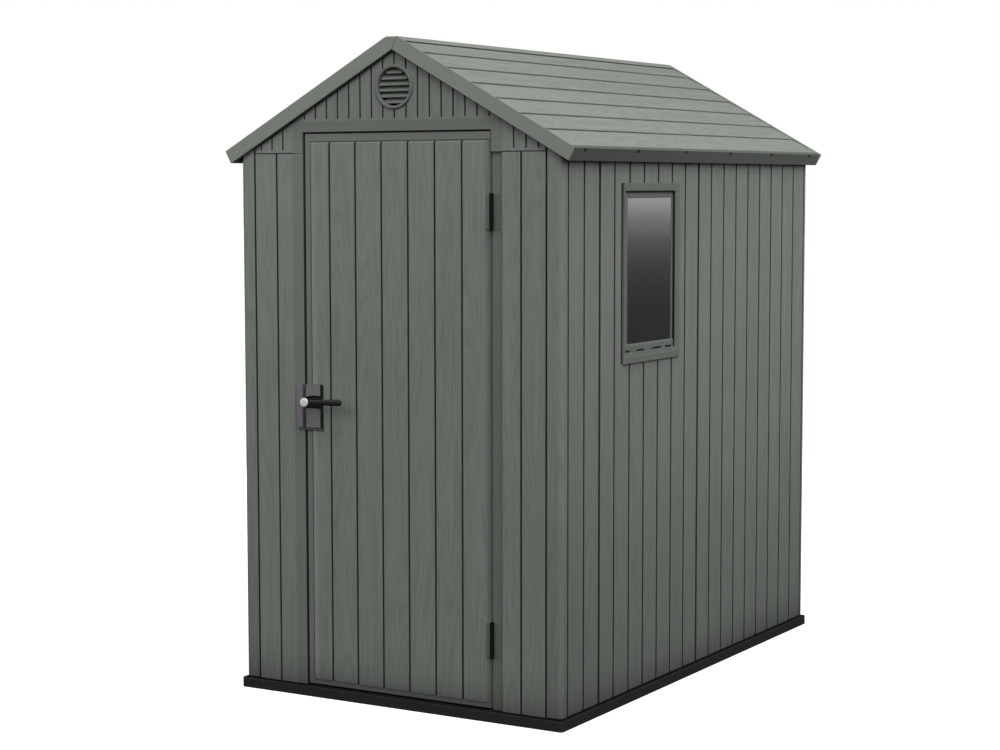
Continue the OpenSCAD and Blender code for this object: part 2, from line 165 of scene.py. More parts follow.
GROOVE_PAINTED_SHADE = 0.24  # painted shade at the foot of a groove, as a tone
BOARD_CAVITY = mm(0.3, 1.2)  # depths between which a groove's painted shade deepens
LINING_FROM, LINING_TO = mm(12, 14)  # under the skin, past these depths no painted shade is added
FOOT_SHADE = 180 * MM  # height over the floor up to which painted shade darkens the walls
GABLE_SHADE = mm(20, 90)  # heights over the wall panels between which painted shade darkens the gables under the roof
NEAR_GROOVE = mm(3.8, 4.4)  # distances from a door groove's middle between which its painted shade fades out
LAST_GROOVE = mm(280, 285)  # distances from the door's middle between which the last groove's painted shade does
HINGE_PAINTED_SHADE, HINGE_SLOPE = 0.58, mm(20, 4)  # painted shade on the door's slope on the hinge side, as a tone, in from its edge
LATCH_PAINTED_HIGHLIGHT, LATCH_SLOPE = 1.2, mm(27, 48)  # painted highlight on the latch side's slope, given the same way
LOW_SHADE_FROM, LOW_SHADE_TO = 0.2, 0.8  # heights between which a wall's painted shade low down fades out


class Graph:
    """Node tree helper: inputs that are sockets are linked, other inputs are set."""

    def __init__(self, owner):
        owner.use_nodes = True
        self.nodes, self.links = owner.node_tree.nodes, owner.node_tree.links
        self.nodes.clear()

    def add(self, kind, inputs=None, **settings):
        node = self.nodes.new("ShaderNode" + kind)
        for name, value in settings.items():
            setattr(node, name, value)
        for key, value in (inputs or {}).items():
            if isinstance(value, bpy.types.NodeSocket):
                self.links.new(value, node.inputs[key])
            else:
                node.inputs[key].default_value = value
        return node

    def math(self, operation, a, b=0.0):
        return self.add("Math", {0: a, 1: b}, operation=operation).outputs[0]

    def plus(self, a, b):
        return self.math("ADD", a, b)

    def minus(self, a, b):
        return self.math("SUBTRACT", a, b)

    def times(self, a, b):
        return self.math("MULTIPLY", a, b)

    def larger(self, a, b):
        return self.math("MAXIMUM", a, b)

    def vector(self, operation, a, b):
        return self.add("VectorMath", {0: a, 1: b}, operation=operation).outputs[0]

    def spread(self, value, low_out, high_out, low_in=0.0, high_in=1.0):
        """Maps one range to another, and keeps what lies outside at its ends."""
        return self.add("MapRange", {0: value, 1: low_in, 2: high_in, 3: low_out, 4: high_out}).outputs[0]

    def noise(self, vector, scale, detail=2.0, rough=0.5):
        inputs = {"Vector": vector, "Scale": scale, "Detail": detail, "Roughness": rough}
        return self.add("TexNoise", inputs).outputs["Fac"]

    def tint(self, colour, factor):
        """A colour, as a socket or three numbers, times a factor."""
        base = (*colour, 1.0) if isinstance(colour, tuple) else colour
        mixed = self.add("Mix", {"Factor": 1.0, 6: base}, data_type="RGBA", blend_type="MULTIPLY")
        grey = self.add("CombineColor", {0: factor, 1: factor, 2: factor}).outputs[0]
        self.links.new(grey, mixed.inputs[7])
        return mixed.outputs[2]

    def axes(self):
        place = self.add("TexCoord").outputs["Object"]
        split = self.add("SeparateXYZ", {0: place}).outputs
        return place, {"x": split[0], "y": split[1], "z": split[2]}

    def surface(self, colour, roughness, height, distance, specular=0.5, **constants):
        bump = self.add("Bump", {"Height": height, "Distance": distance, "Strength": 1.0}).outputs[0]
        shader = self.add("BsdfPrincipled", {
            "Base Color": colour, "Roughness": roughness, "Normal": bump, "Specular IOR Level": specular,
            **constants}).outputs[0]
        self.add("OutputMaterial", {"Surface": shader})


def new_material(name):
    material = bpy.data.materials.new(name)
    return material, Graph(material)


def groove_shade(g, axes, start, end):
    """Painted shade: a factor that falls from 1 to GROOVE_PAINTED_SHADE between two depths under the
    walls' rounded outside, in grooves, seams and gaps.
    """
    inward = [g.larger(g.minus(POST_R, g.minus(half, g.math("ABSOLUTE", axes[axis]))), 0.0)
              for axis, half in (("x", HALF_W), ("y", HALF_D))]
    squares = [g.times(side, side) for side in inward]
    depth = g.minus(POST_R, g.math("SQRT", g.plus(*squares)))
    lining = g.spread(depth, 0.0, 1.0, LINING_FROM, LINING_TO)
    return g.larger(g.spread(depth, 1.0, GROOVE_PAINTED_SHADE, start, end), lining)


def height_shade(g, axes, low_painted_shade=1.0):
    """Painted shade: darkens the lowest part of the walls and the door, the gables under the roof, and
    with low_painted_shade a wall up to LOW_SHADE_TO.
    """
    height = g.spread(axes["z"], 1.0, 0.0, FLOOR_H, FLOOR_H + FOOT_SHADE)
    foot = g.minus(1.0, g.times(g.math("POWER", height, 2.5), 0.5))
    gable = g.spread(axes["z"], 1.0, 0.87, *(PANEL_TOP + rise for rise in GABLE_SHADE))
    return g.times(g.times(foot, gable), g.spread(axes["z"], low_painted_shade, 1.0, LOW_SHADE_FROM, LOW_SHADE_TO))


def door_shade(g, painted_light, t, in_boards, pitch):
    """Keeps the grooves' painted shade close to them, and paints shade on the slope down the hinge side
    and a highlight on the slope down the latch side.
    """
    from_groove = g.math("PINGPONG", in_boards, 0.5)
    painted_light = g.larger(painted_light, g.spread(from_groove, 0.0, 1.0, *(reach / pitch for reach in NEAR_GROOVE)))
    painted_light = g.larger(painted_light, g.spread(g.math("ABSOLUTE", t), 0.0, 1.0, *LAST_GROOVE))
    painted_light = g.times(painted_light, g.spread(t, 1.0, HINGE_PAINTED_SHADE, *(DOOR_RIGHT - reach for reach in HINGE_SLOPE)))
    return g.times(painted_light, g.spread(t, LATCH_PAINTED_HIGHLIGHT, 1.0, *(DOOR_LEFT + reach for reach in LATCH_SLOPE)))


def boarded_plastic(name, slot, colour, across, along, pitch, offset, fold=False, cavity=BOARD_CAVITY,
                    door=False, low_painted_shade=1.0):
    """Matt moulded resin with an embossed wood figure that changes from board to board."""
    material, g = new_material(name)
    place, axes = g.axes()
    t = g.math("ABSOLUTE", axes[across]) if fold else axes[across]
    in_boards = g.math("DIVIDE", g.minus(t, offset), pitch)
    chance = g.add("TexWhiteNoise", {"W": g.math("FLOOR", in_boards)}, noise_dimensions="1D")
    shift = g.vector("MULTIPLY", chance.outputs["Color"], (9.0, 9.0, 9.0))

    def stretched(along_scale):
        scale = [along_scale if axis == along else 1.0 for axis in "xyz"]
        return g.vector("ADD", g.vector("MULTIPLY", place, scale), shift)

    # The figure's lines are contours of a slow noise; streaks, bands and clouds vary the tone
    field = g.noise(stretched(0.07), 11.0, 1.5, 0.45)
    wave = g.math("SINE", g.times(field, 150.0))
    figure = g.math("POWER", g.spread(wave, 0.0, 1.0, -1.0, 1.0), 2.2)
    streaks = g.noise(stretched(0.022), 330.0, 3.0, 0.65)
    bands = g.noise(stretched(0.03), 45.0)
    clouds = g.noise(place, 2.3)
    shade = g.spread(streaks, -0.19, 0.19)
    for value, start, end in ((figure, 0.035, -0.08), (bands, -0.10, 0.10), (clouds, -0.045, 0.045),
                              (chance.outputs["Value"], 0.988, 1.012)):
        shade = g.plus(shade, g.spread(value, start, end))
    # Painted shade in the grooves, at the foot and on the gables; on the door also painted shade and
    # highlight on its slopes
    if cavity:
        painted_light = groove_shade(g, axes, *cavity)
        if door:
            painted_light = door_shade(g, painted_light, t, in_boards, pitch)
        shade = g.times(shade, g.times(painted_light, height_shade(g, axes, low_painted_shade)))
    height = g.plus(g.times(streaks, 0.7), g.times(figure, -0.36))
    g.surface(g.tint(colour, shade), g.spread(streaks, 0.55, 0.72, 0.3, 0.7), height, 0.5 * MM, 0.22)
    return material, slot


def plain_plastic(name, slot, colour, roughness=0.6, specular=0.22, speckle=0.05, grain=500.0,
                  bump=0.2 * MM, tone=0.05, foot=False):
    """Moulded resin with a fine even texture."""
    material, g = new_material(name)
    place, axes = g.axes()
    fine = g.noise(place, grain, 3.0, 0.6)
    clouds = g.noise(place, 3.0, 3.0, 0.55)
    shade = g.plus(g.spread(fine, 1.0 - speckle, 1.0 + speckle), g.spread(clouds, -tone, tone))
    # Painted shade at the foot and on the gables
    if foot:
        shade = g.times(shade, height_shade(g, axes))
    tinted = g.tint(colour, shade)
    g.surface(tinted, g.spread(fine, roughness - 0.06, roughness + 0.06), fine, bump, specular)
    return material, slot


def brushed_metal(name, slot, colour, roughness, stretch, metallic=1.0):
    material, g = new_material(name)
    place, _ = g.axes()
    brush = g.noise(g.vector("MULTIPLY", place, stretch), 260.0, 3.0, 0.6)
    stains = g.noise(place, 35.0, 3.0, 0.6)
    shade = g.plus(g.spread(brush, 0.93, 1.07), g.spread(stains, -0.06, 0.06))
    g.surface(g.tint(colour, shade), g.spread(brush, roughness - 0.07, roughness + 0.07), brush,
              0.05 * MM, Metallic=metallic)
    return material, slot


def pane_with_painted_reflection(name, slot, z_low, z_high):
    """Smoked acrylic, with a painted reflection that makes it paler towards its top edge."""
    material, g = new_material(name)
    place, axes = g.axes()
    ramp = g.add("ValToRGB", {"Fac": g.spread(axes["z"], 0.0, 1.0, z_low, z_high)})
    # Painted reflection: the grey steps up towards the top edge
    stops = ((0.0, 0.030), (0.30, 0.034), (0.52, 0.052), (0.70, 0.095), (0.86, 0.19), (1.0, 0.36))
    elements = ramp.color_ramp.elements
    while len(elements) < len(stops):
        elements.new(0.5)
    for element, (position, grey) in zip(elements, stops):
        element.position, element.color = position, (grey, grey, grey, 1.0)
    haze = g.noise(place, 6.0)
    colour = g.tint(ramp.outputs[0], g.spread(haze, 0.94, 1.06))
    g.surface(colour, g.spread(haze, 0.12, 0.2), haze, 0.1 * MM, specular=0.12, Alpha=0.93)
    return material, slot


def share(colour, amount):
    return tuple(amount * c for c in colour)


def wall_moulding(name, amount, foot=True):
    """Smooth mouldings look darker than the grained boards beside them; a lower amount also paints shade
    on a moulding.
    """
    return plain_plastic("wall_plastic_" + name, "wall_plastic", share(WALL_COLOUR, amount), foot=foot)


def roof_moulding(name, colour):
    return plain_plastic("roof_plastic_" + name, "roof_plastic", colour, speckle=0.06, grain=450.0)


WALL_COLOUR = (0.150, 0.166, 0.147)
ROOF_COLOUR = (0.212, 0.233, 0.207)

FRONT_WALL = boarded_plastic("wall_plastic_front", "wall_plastic", WALL_COLOUR, "x", "z", DOOR_PITCH,
                             DOOR_PITCH / 2)
DOOR_BOARDS = boarded_plastic("door_plastic_boards", "wall_plastic", WALL_COLOUR, "x", "z", DOOR_PITCH,
                              DOOR_PITCH / 2 + DOOR_CENTRE, door=True)
# Painted shade: the side walls darken towards their foot
SIDE_WALL = boarded_plastic("wall_plastic_side", "wall_plastic", WALL_COLOUR, "y", "z", SIDE_PITCH,
                            SIDE_OFFSET, low_painted_shade=0.84)
TRIM = wall_moulding("trim", 0.84)
# Painted shade: the right jamb and the frame's hinge leaves on it are a darker copy of the trim
PAINTED_SHADE_JAMB_TRIM = wall_moulding("jamb", 0.72)
WINDOW_TRIM = wall_moulding("window", 0.76, foot=False)
# Painted shadow: the door's hinge leaves are a darker copy of the trim, for the shade round the barrels
SHADED_TRIM = wall_moulding("shaded", 0.62)
ROOF = boarded_plastic("roof_plastic_courses", "roof_plastic", ROOF_COLOUR, "x", "y",
                       COURSE_PITCH * COS, FIRST_LAP * COS, fold=True, cavity=None)
ROOF_TRIM = roof_moulding("trim", share(ROOF_COLOUR, 0.78))
# Painted shade: the eave trims, which face down, are a darker copy of the roof plastic
PAINTED_SHADE_EAVE_TRIM = roof_moulding("eave", (0.099, 0.110, 0.097))
FLOOR = plain_plastic("floor_plastic", "floor_plastic", (0.018, 0.018, 0.0185), 0.62, 0.12, 0.16, 300.0,
                      0.3 * MM, 0.12)
BLACK = plain_plastic("black_plastic", "black_plastic", (0.008, 0.009, 0.008), 0.42, 0.3, 0.1, 600.0,
                      0.1 * MM)
HINGE_BLACK = plain_plastic("hinge_plastic", "black_plastic", (0.004, 0.0045, 0.004), 0.6, 0.08, 0.1,
                            600.0, 0.1 * MM)
LOCK_GREY = plain_plastic("lock_plastic", "lock_plastic", (0.137, 0.131, 0.139), 0.45, 0.25, 0.05, 700.0,
                          0.1 * MM)
GASKET = plain_plastic("gasket_grey", "lock_plastic", (0.118, 0.113, 0.120), 0.5, 0.2, 0.05, 600.0,
                       0.1 * MM)
# Painted reflection: the cap is mostly pale diffuse colour, which stands in for a bright reflection
CHROME = brushed_metal("chrome", "chrome", (0.74, 0.74, 0.75), 0.35, (1.0, 1.0, 1.0), metallic=0.3)
STEEL = brushed_metal("steel", "steel", (0.42, 0.43, 0.44), 0.42, (1.0, 0.05, 1.0))

# ---- mesh tools

WELD = 0.001 * MM  # corners closer than this are one


def new_object(name, data):
    obj = bpy.data.objects.new(name, data)
    bpy.context.scene.collection.objects.link(obj)
    return obj


def loft(bm, rings, wrap=False):
    """Joins rings of the same length into one closed solid."""
    rows = [[bm.verts.new(p) for p in ring] for ring in rings]
    count = len(rings[0])
    for a, b in list(zip(rows, rows[1:])) + ([(rows[-1], rows[0])] if wrap else []):
        for i in range(count):
            j = (i + 1) % count
            bm.faces.new((a[i], a[j], b[j], b[i]))
    if not wrap:
        bm.faces.new(rows[0])
        bm.faces.new(rows[-1][::-1])
    bmesh.ops.remove_doubles(bm, verts=[v for row in rows for v in row], dist=WELD)


def inset(outline, distance):
    """Moves each corner of an outline inwards."""
    area = sum(a[0] * b[1] - b[0] * a[1] for a, b in zip(outline, outline[1:] + outline[:1]))
    turn = 1 if area > 0 else -1
    moved = []
    for i, p in enumerate(outline):
        p = Vector(p)
        before = (p - Vector(outline[i - 1])).normalized()
        after = (Vector(outline[(i + 1) % len(outline)]) - p).normalized()
        n1, n2 = turn * Vector((-before.y, before.x)), turn * Vector((-after.y, after.x))
        moved.append(tuple(p + (n1 + n2) * distance / max(1.0 + n1.dot(n2), 0.3)))
    return moved


def slab(bm, outline, place, start, end, chamfer=0.0):
    """A plate with its outline in two axes, from start to end along the third, chamfered at its end."""
    step = chamfer if end > start else -chamfer
    rings = [[place(a, b, start) for a, b in outline], [place(a, b, end - step) for a, b in outline]]
    if chamfer:
        rings.append([place(a, b, end) for a, b in inset(outline, chamfer)])
    loft(bm, rings)


def rectangle(a0, b0, a1, b1):
    return [(a0, b0), (a1, b0), (a1, b1), (a0, b1)]


def block(bm, corner_a, corner_b, radius):
    """A box with every edge bevelled."""
    made = bmesh.ops.create_cube(bm, size=1.0)["verts"]
    for v in made:
        v.co = Vector((x0 + (x1 - x0) * (c + 0.5) for x0, x1, c in zip(corner_a, corner_b, v.co)))
    edges = list({e for v in made for e in v.link_edges})
    bmesh.ops.bevel(bm, geom=edges, offset=radius, segments=2, profile=0.5, affect="EDGES")


def circle(steps):
    return [(cos(2 * pi * i / steps), sin(2 * pi * i / steps)) for i in range(steps)]


def turned(bm, profile, place, steps=48):
    """A closed solid of revolution; profile rows are (radius, height)."""
    loft(bm, [[place(r * c, r * s, h) for c, s in circle(steps)] for r, h in profile])


def turned_ring(bm, profile, place, steps=72):
    """A ring with a closed section; profile rows are (radius, height)."""
    loft(bm, [[place(r * c, r * s, h) for r, h in profile] for c, s in circle(steps)], wrap=True)


def mitred(bm, place, rect, profile):
    """A picture frame; profile rows are (left, foot, right, top, out), the first four in from rect."""
    a0, b0, a1, b1 = rect
    loft(bm, [[place(a, b, out) for a, b in rectangle(a0 + l, b0 + f, a1 - r, b1 - t)]
              for l, f, r, t, out in profile], wrap=True)


def closed_mesh(name, bm, smooth_angle):
    """A mesh of flat faces that all face out."""
    bmesh.ops.connect_verts_nonplanar(bm, angle_limit=radians(0.05), faces=bm.faces[:])
    bmesh.ops.recalc_face_normals(bm, faces=bm.faces[:])
    if bm.calc_volume(signed=True) < 0.0:
        bmesh.ops.reverse_faces(bm, faces=bm.faces[:])
    mesh = bpy.data.meshes.new(name)
    bm.to_mesh(mesh)
    bm.free()
    if smooth_angle:
        mesh.shade_smooth()
        mesh.set_sharp_from_angle(angle=radians(smooth_angle))
    return mesh


def piece(name, bm, finish, nodes, body="shed", smooth_angle=0):
    """Rides bm on a body in place of CAD nodes; finish is (material, slot), and its slot is not used."""
    material, slot = finish
    obj = new_object(name, closed_mesh(name, bm, smooth_angle))
    obj.data.materials.append(material)
    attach(obj, body)
    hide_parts(*nodes)
    return obj


def lofted(name, rings, finish, nodes, body="shed", smooth_angle=0):
    bm = bmesh.new()
    loft(bm, rings)
    return piece(name, bm, finish, nodes, body, smooth_angle)


def carve(obj, cutter):
    """Cuts the solids of a mesh out of a piece, and closes what cracks the cut leaves."""
    bmesh.ops.recalc_face_normals(cutter, faces=cutter.faces[:])
    mesh = bpy.data.meshes.new("cutter")
    cutter.to_mesh(mesh)
    cutter.free()
    tool = new_object("cutter", mesh)
    cut = obj.modifiers.new("cut", "BOOLEAN")
    cut.operation, cut.solver, cut.object, cut.use_self = "DIFFERENCE", "EXACT", tool, True
    bm = bmesh.new()
    bm.from_object(obj, bpy.context.evaluated_depsgraph_get())
    bmesh.ops.remove_doubles(bm, verts=bm.verts[:], dist=WELD)
    bmesh.ops.dissolve_degenerate(bm, dist=WELD, edges=bm.edges[:])
    bmesh.ops.holes_fill(bm, edges=[edge for edge in bm.edges if edge.is_boundary], sides=0)
    obj.modifiers.clear()
    bm.to_mesh(obj.data)
    bm.free()
    bpy.data.objects.remove(tool)
    bpy.data.meshes.remove(mesh)


def cad_copy(bm, node):
    """Adds a node's surface, welded and free of triangulation."""
    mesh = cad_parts[node].data
    verts = [bm.verts.new(v.co) for v in mesh.vertices]
    for polygon in mesh.polygons:
        bm.faces.new([verts[i] for i in polygon.vertices])
    bmesh.ops.remove_doubles(bm, verts=verts, dist=10 * WELD)
    bmesh.ops.dissolve_limit(bm, angle_limit=radians(0.5), verts=bm.verts[:], edges=bm.edges[:])


def softened(name, node, finish, radius, keep=None, reshape=None):
    """A node's own shape with its hard edges bevelled, apart from those that keep() names."""
    bm = bmesh.new()
    cad_copy(bm, node)
    for v in bm.verts if reshape else ():
        v.co = reshape(v.co)
    edges = [e for e in bm.edges if len(e.link_faces) == 2 and e.calc_face_angle() > radians(25)]
    if keep:
        edges = [e for e in edges if not keep(*(v.co for v in e.verts))]
    bmesh.ops.bevel(bm, geom=edges, offset=radius, segments=2, profile=0.5, affect="EDGES",
                    clamp_overlap=True)
    return piece(name, bm, finish, (node,))


# ---- walls


def groove_stations(grooves, half, joints=()):
    """Positions across a boarded face as (t, skin, plain, lining); skin and plain are heights over it."""
    rows = []
    for g in grooves:
        reach = half + (JOINT_WIDER if g in joints else 0.0)
        shape = [(-reach - w, d) for w, d in GROOVE] + [(reach + w, d) for w, d in reversed(GROOVE)]
        rows += [(g + w * MM, -d * MM, 0.0, min(d, LINING_DEPTH) * MM) for w, d in shape]
    return rows


def panel_stations(t0, t1, grooves, half, seams, joints):
    """The stations of a panel, with a tongue and a chamfer at each end that has a seam."""
    seam = WIDE_SEAM if joints else SEAM
    tongue = [(0.0, -TONGUE), (seam, -TONGUE), (seam, -EDGE), (seam + EDGE, 0.0)]
    start, end = (tongue if has_seam else [(0.0, 0.0)] for has_seam in seams)
    clear = 3 * half * MM
    grooves = sorted(g for g in grooves if t0 + clear < g < t1 - clear)
    return ([(t0 + w, out, out, 0.0) for w, out in start] + groove_stations(grooves, half, joints)
            + [(t1 - w, out, out, 0.0) for w, out in reversed(end)])


def boarded(wall, t0, t1, grooves, half, foot, top=None, seams=(True, True), footing=(FOOT_GAP, FOOT_DEEP),
            groove_foot=None, peak=False, gable=False, joints=()):
    """The rings of a twin-skin wall panel with grooved boards, between t0 and t1 along a wall."""
    rows = panel_stations(t0, t1, grooves, half, seams, joints)
    if peak:  # a station under the ridge, where the top turns
        nearest = min(rows, key=lambda row: abs(row[0]))
        rows = sorted(rows + [(0.0, *nearest[1:])], key=lambda row: row[0])
    rings = []
    for t, skin, plain, lining in rows:
        inner = -WALL_T + lining
        outer = skin if groove_foot is None else plain
        section = [(outer, foot)]
        if footing:
            deep, gap = min(outer, -footing[1]), foot + footing[0]
            section = [(deep, foot), (deep, gap), (outer - EDGE, gap), (outer, gap + EDGE)]
        if groove_foot is not None:
            section += [(plain, groove_foot), (skin, groove_foot + MM)]
        points = [wall(t, foot, inner)] + [wall(t, z, out) for out, z in section]
        tops = [(skin, EDGE), (skin - EDGE, 0.0), (inner, 0.0)]
        if gable:  # the skin ends in a dark gap under the barge boards
            gap = EAVE_SHADE + (EDGE_DEPTH + UNDER_V) / COS
            behind = min(skin, -TONGUE)
            tops = [(skin, gap + EDGE), (skin - EDGE, gap), (behind, gap), (behind, 0.0), (inner, 0.0)]
        for out, drop in tops:
            p = wall(t, 0.0, out)
            p.z = (under_roof(p.x) if top is None else top) - drop
            points.append(p)
        rings.append(points)
    return rings


def corner_post(name, sx, sy, end_w, side_w):
    """An L-shaped post; a and b run in from the outer corner along the gable wall and the side wall."""
    tongue = [(0.0, TONGUE), (SEAM, TONGUE), (SEAM, EDGE), (SEAM + EDGE, 0.0)]
    path = [(end_w, WALL_T)] + [(end_w - w, d) for w, d in tongue] + [(POST_R + MM, 0.0)]
    path += [(POST_R - POST_R * sin(k * pi / 20), POST_R - POST_R * cos(k * pi / 20)) for k in range(11)]
    path += [(0.0, POST_R + MM)] + [(d, side_w - w) for w, d in reversed(tongue)]
    path += [(WALL_T, side_w), (WALL_T, WALL_T)]

    def recessed(a, b):
        if a < POST_R and b < POST_R:
            keep = (POST_R - FOOT_DEEP) / POST_R
            return POST_R + (a - POST_R) * keep, POST_R + (b - POST_R) * keep
        return max(a, FOOT_DEEP), max(b, FOOT_DEEP)

    def place(a, b, z):
        return at(sx * (HALF_W - a), sy * (HALF_D - b), z)

    foot = [recessed(a, b) for a, b in path]
    rings = [[place(a, b, z) for a, b in outline] for outline, z in
             ((foot, FLOOR_H), (foot, FLOOR_H + FOOT_GAP), (path, FLOOR_H + FOOT_GAP))]
    rings.append([place(a, b, under_roof(HALF_W - a)) for a, b in path])
    lofted(name + "_moulded", rings, SIDE_WALL, (name,), smooth_angle=20)


def even_grooves(t0, t1, boards=6):
    return [t0 + (t1 - t0) * k / boards for k in range(1, boards)]


def end_span(name):
    return max(low(name).x, -POST_X), min(high(name).x, POST_X)


for side, sx in (("left", -1), ("right", 1)):
    corner_post("corner_post_front_" + side, sx, -1, HALF_W - POST_X, POST_FRONT)
    corner_post("corner_post_rear_" + side, sx, 1, HALF_W - POST_X, POST_REAR)

    # The front panel beside the door, with one groove
    name = "front_panel_" + side
    t0, t1 = end_span(name)
    lofted(name + "_boards", boarded(
        front, t0, t1, [sx * PANEL_GROOVE], FRONT_GROOVE, FLOOR_H, PANEL_TOP - JOINT, (sx < 0, sx > 0),
        (FRONT_FOOT, FOOT_DEEP)), FRONT_WALL, (name,))

    # The back wall
    name = "back_wall_" + side
    t0, t1 = end_span(name)
    lofted(name + "_boards", boarded(back, t0, t1, even_grooves(t0, t1), FRONT_GROOVE, FLOOR_H,
                                     PANEL_TOP - JOINT), FRONT_WALL, (name,))


def raised(z):
    return z + FRONT_FOOT if z < FLOOR_H + MM else z


def left_jamb_shape(p):
    """The left jamb's face lies just under the skin of the panel beside it."""
    return at(p.x, -HALF_D + LEFT_RECESS if p.y < -HALF_D + 12 * MM else p.y, raised(p.z))


def right_jamb_shape(p):
    return at(JAMB_RIGHT if abs(p.x - DOORWAY_HALF) < MM else p.x, p.y, raised(p.z))


def beside_panel(a, b):
    """True for the edges where a jamb or the band meets a front panel."""
    return all(abs(abs(p.x) - low("front_panel_right").x) < MM for p in (a, b))


softened("jamb_left_moulded", "jamb_left", TRIM, 1.2 * MM, beside_panel, left_jamb_shape)
softened("jamb_right_moulded", "jamb_right", PAINTED_SHADE_JAMB_TRIM, 1.2 * MM, reshape=right_jamb_shape)


def window_opening():
    """The opening behind the window's frame, and the channel in front of the frame's edge."""
    (_, y0, z0), (_, y1, z1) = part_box("window_frame")
    hole = bmesh.new()
    slab(hole, rectangle(y0 + FLANGE, z0 + FLANGE, y1 - FLANGE, z1 - FLANGE), right, -2 * WALL_T, WALL_T)
    slab(hole, rectangle(y0 - 10 * MM, z0 + 8 * MM, y0 + 2 * FLANGE, z1 - MM), right, -TONGUE, WALL_T)
    return hole


for name in ("right_wall_front", "right_wall_window", "right_wall_middle", "right_wall_rear"):
    grooves = {k: SIDE_OFFSET + SIDE_PITCH * k for k in range(-9, 10)}
    wall_piece = lofted(name + "_boards", boarded(
        right, low(name).y, high(name).y, grooves.values(), SIDE_GROOVE, FLOOR_H,
        joints=[grooves[k] for k in WIDE_JOINTS]), SIDE_WALL, (name,))
    if name == "right_wall_window":
        carve(wall_piece, window_opening())
for name in ("left_wall_front", "left_wall_middle", "left_wall_rear"):
    t0, t1 = low(name).y, high(name).y
    lofted(name + "_boards", boarded(left, t0, t1, even_grooves(t0, t1), SIDE_GROOVE, FLOOR_H),
           SIDE_WALL, (name,))

# ---- gables and vents

VENT_R, VENT_RING, VENT_WALL, VENT_PROUD = mm(57, 10, 3, 6)
VENT_Z = (low("vent_front").z + high("vent_front").z) / 2
LOUVRES, LOUVRE_PITCH, LOUVRE_RISE = 6, 17.8 * MM, 3.5 * MM
RIB_X, RIB_HALF, RIB_IN, RIB_OUT = mm(24, 1.5, -18.5, -16)
gable_grooves = [GABLE_PITCH * k for k in range(-12, 13)]
gable_foot = {"footing": (2 * JOINT, TONGUE), "groove_foot": PANEL_TOP + GROOVE_START, "gable": True}


def vent_hole():
    bm = bmesh.new()
    radius, reach = VENT_R + VENT_WALL, 2 * HALF_D
    turned(bm, [(radius, -reach), (radius, reach)], lambda a, b, h: at(a, h, VENT_Z + b), 96)
    return bm


front_boards = lofted("front_gable_boards", boarded(
    front, -FRAME_HALF, FRAME_HALF, gable_grooves, GABLE_GROOVE, BAND_TOP, seams=(False, False),
    footing=None, groove_foot=BAND_TOP + BAND_RISE, peak=True, gable=True), FRONT_WALL, ("front_gable",))
carve(front_boards, vent_hole())

wings = bmesh.new()
for a, b, seams in ((-POST_X, -FRAME_HALF, (True, False)), (FRAME_HALF, POST_X, (False, True))):
    grooves = [g for g in gable_grooves if a + 20 * MM < g < b - 20 * MM]
    loft(wings, boarded(front, a, b, grooves, GABLE_GROOVE, PANEL_TOP, seams=seams, **gable_foot))
piece("front_gable_wings", wings, FRONT_WALL, ("front_gable",))

rear_boards = lofted("rear_gable_boards", boarded(
    back, -POST_X, POST_X, gable_grooves, GABLE_GROOVE, PANEL_TOP, peak=True, **gable_foot),
    FRONT_WALL, ("rear_gable",))
carve(rear_boards, vent_hole())


def head_shape(p):
    """The band ends under the gable's boards, and its right end closes up to the door."""
    z = BAND_TOP if p.z > HEAD_TOP - MM else p.z
    beside_door = abs(p.x - DOORWAY_HALF) < MM and p.z < LEAF_HIGH.z + 6 * MM
    return at(JAMB_RIGHT if beside_door else p.x, p.y, z)


softened("door_head_moulded", "door_head", TRIM, 1.2 * MM,
         lambda a, b: min(a.z, b.z) > BAND_TOP - MM or beside_panel(a, b), head_shape)


def vent(name, wall):
    def place(a, b, out):
        return wall(a, VENT_Z + b, out)

    ring = bmesh.new()
    bore, outer, proud = VENT_R, VENT_R + VENT_RING, VENT_PROUD
    turned_ring(ring, [
        (outer, 0.0), (outer, proud - 2.5 * MM), (outer - MM, proud - MM), (outer - 2.5 * MM, proud),
        (bore + 2.5 * MM, proud), (bore + 0.8 * MM, proud - 0.8 * MM), (bore, proud - 2.5 * MM),
        (bore, -WALL_T), (bore + VENT_WALL, -WALL_T), (bore + VENT_WALL, 0.0)], place)
    piece(name + "_ring", ring, TRIM, (name,), smooth_angle=30)

    # Louvres slope down and out, each with a turned-down lip, in front of two upright ribs
    slats = bmesh.new()
    section = [mm(-17.5, 9), mm(-4, -1.5), mm(0.4, -5.6), mm(0.4, -8.8), mm(-0.9, -8.8), mm(-0.9, -6.8),
               mm(-5, -4.2), mm(-18, 6.5)]
    for k in range(LOUVRES):
        z = (k - (LOUVRES - 1) / 2) * LOUVRE_PITCH + LOUVRE_RISE
        half = sqrt(VENT_R ** 2 - z ** 2) - 2.5 * MM
        loft(slats, [[place(a, z + b, out) for out, b in section] for a in (-half, half)])
    for a in (-RIB_X, RIB_X):
        b = sqrt((VENT_R + MM) ** 2 - a ** 2)
        block(slats, place(a - RIB_HALF, -b, RIB_IN), place(a + RIB_HALF, b, RIB_OUT), 0.3 * MM)
    piece(name + "_louvres", slats, TRIM, (name,))


vent("vent_front", front)
vent("vent_rear", back)

# ---- window

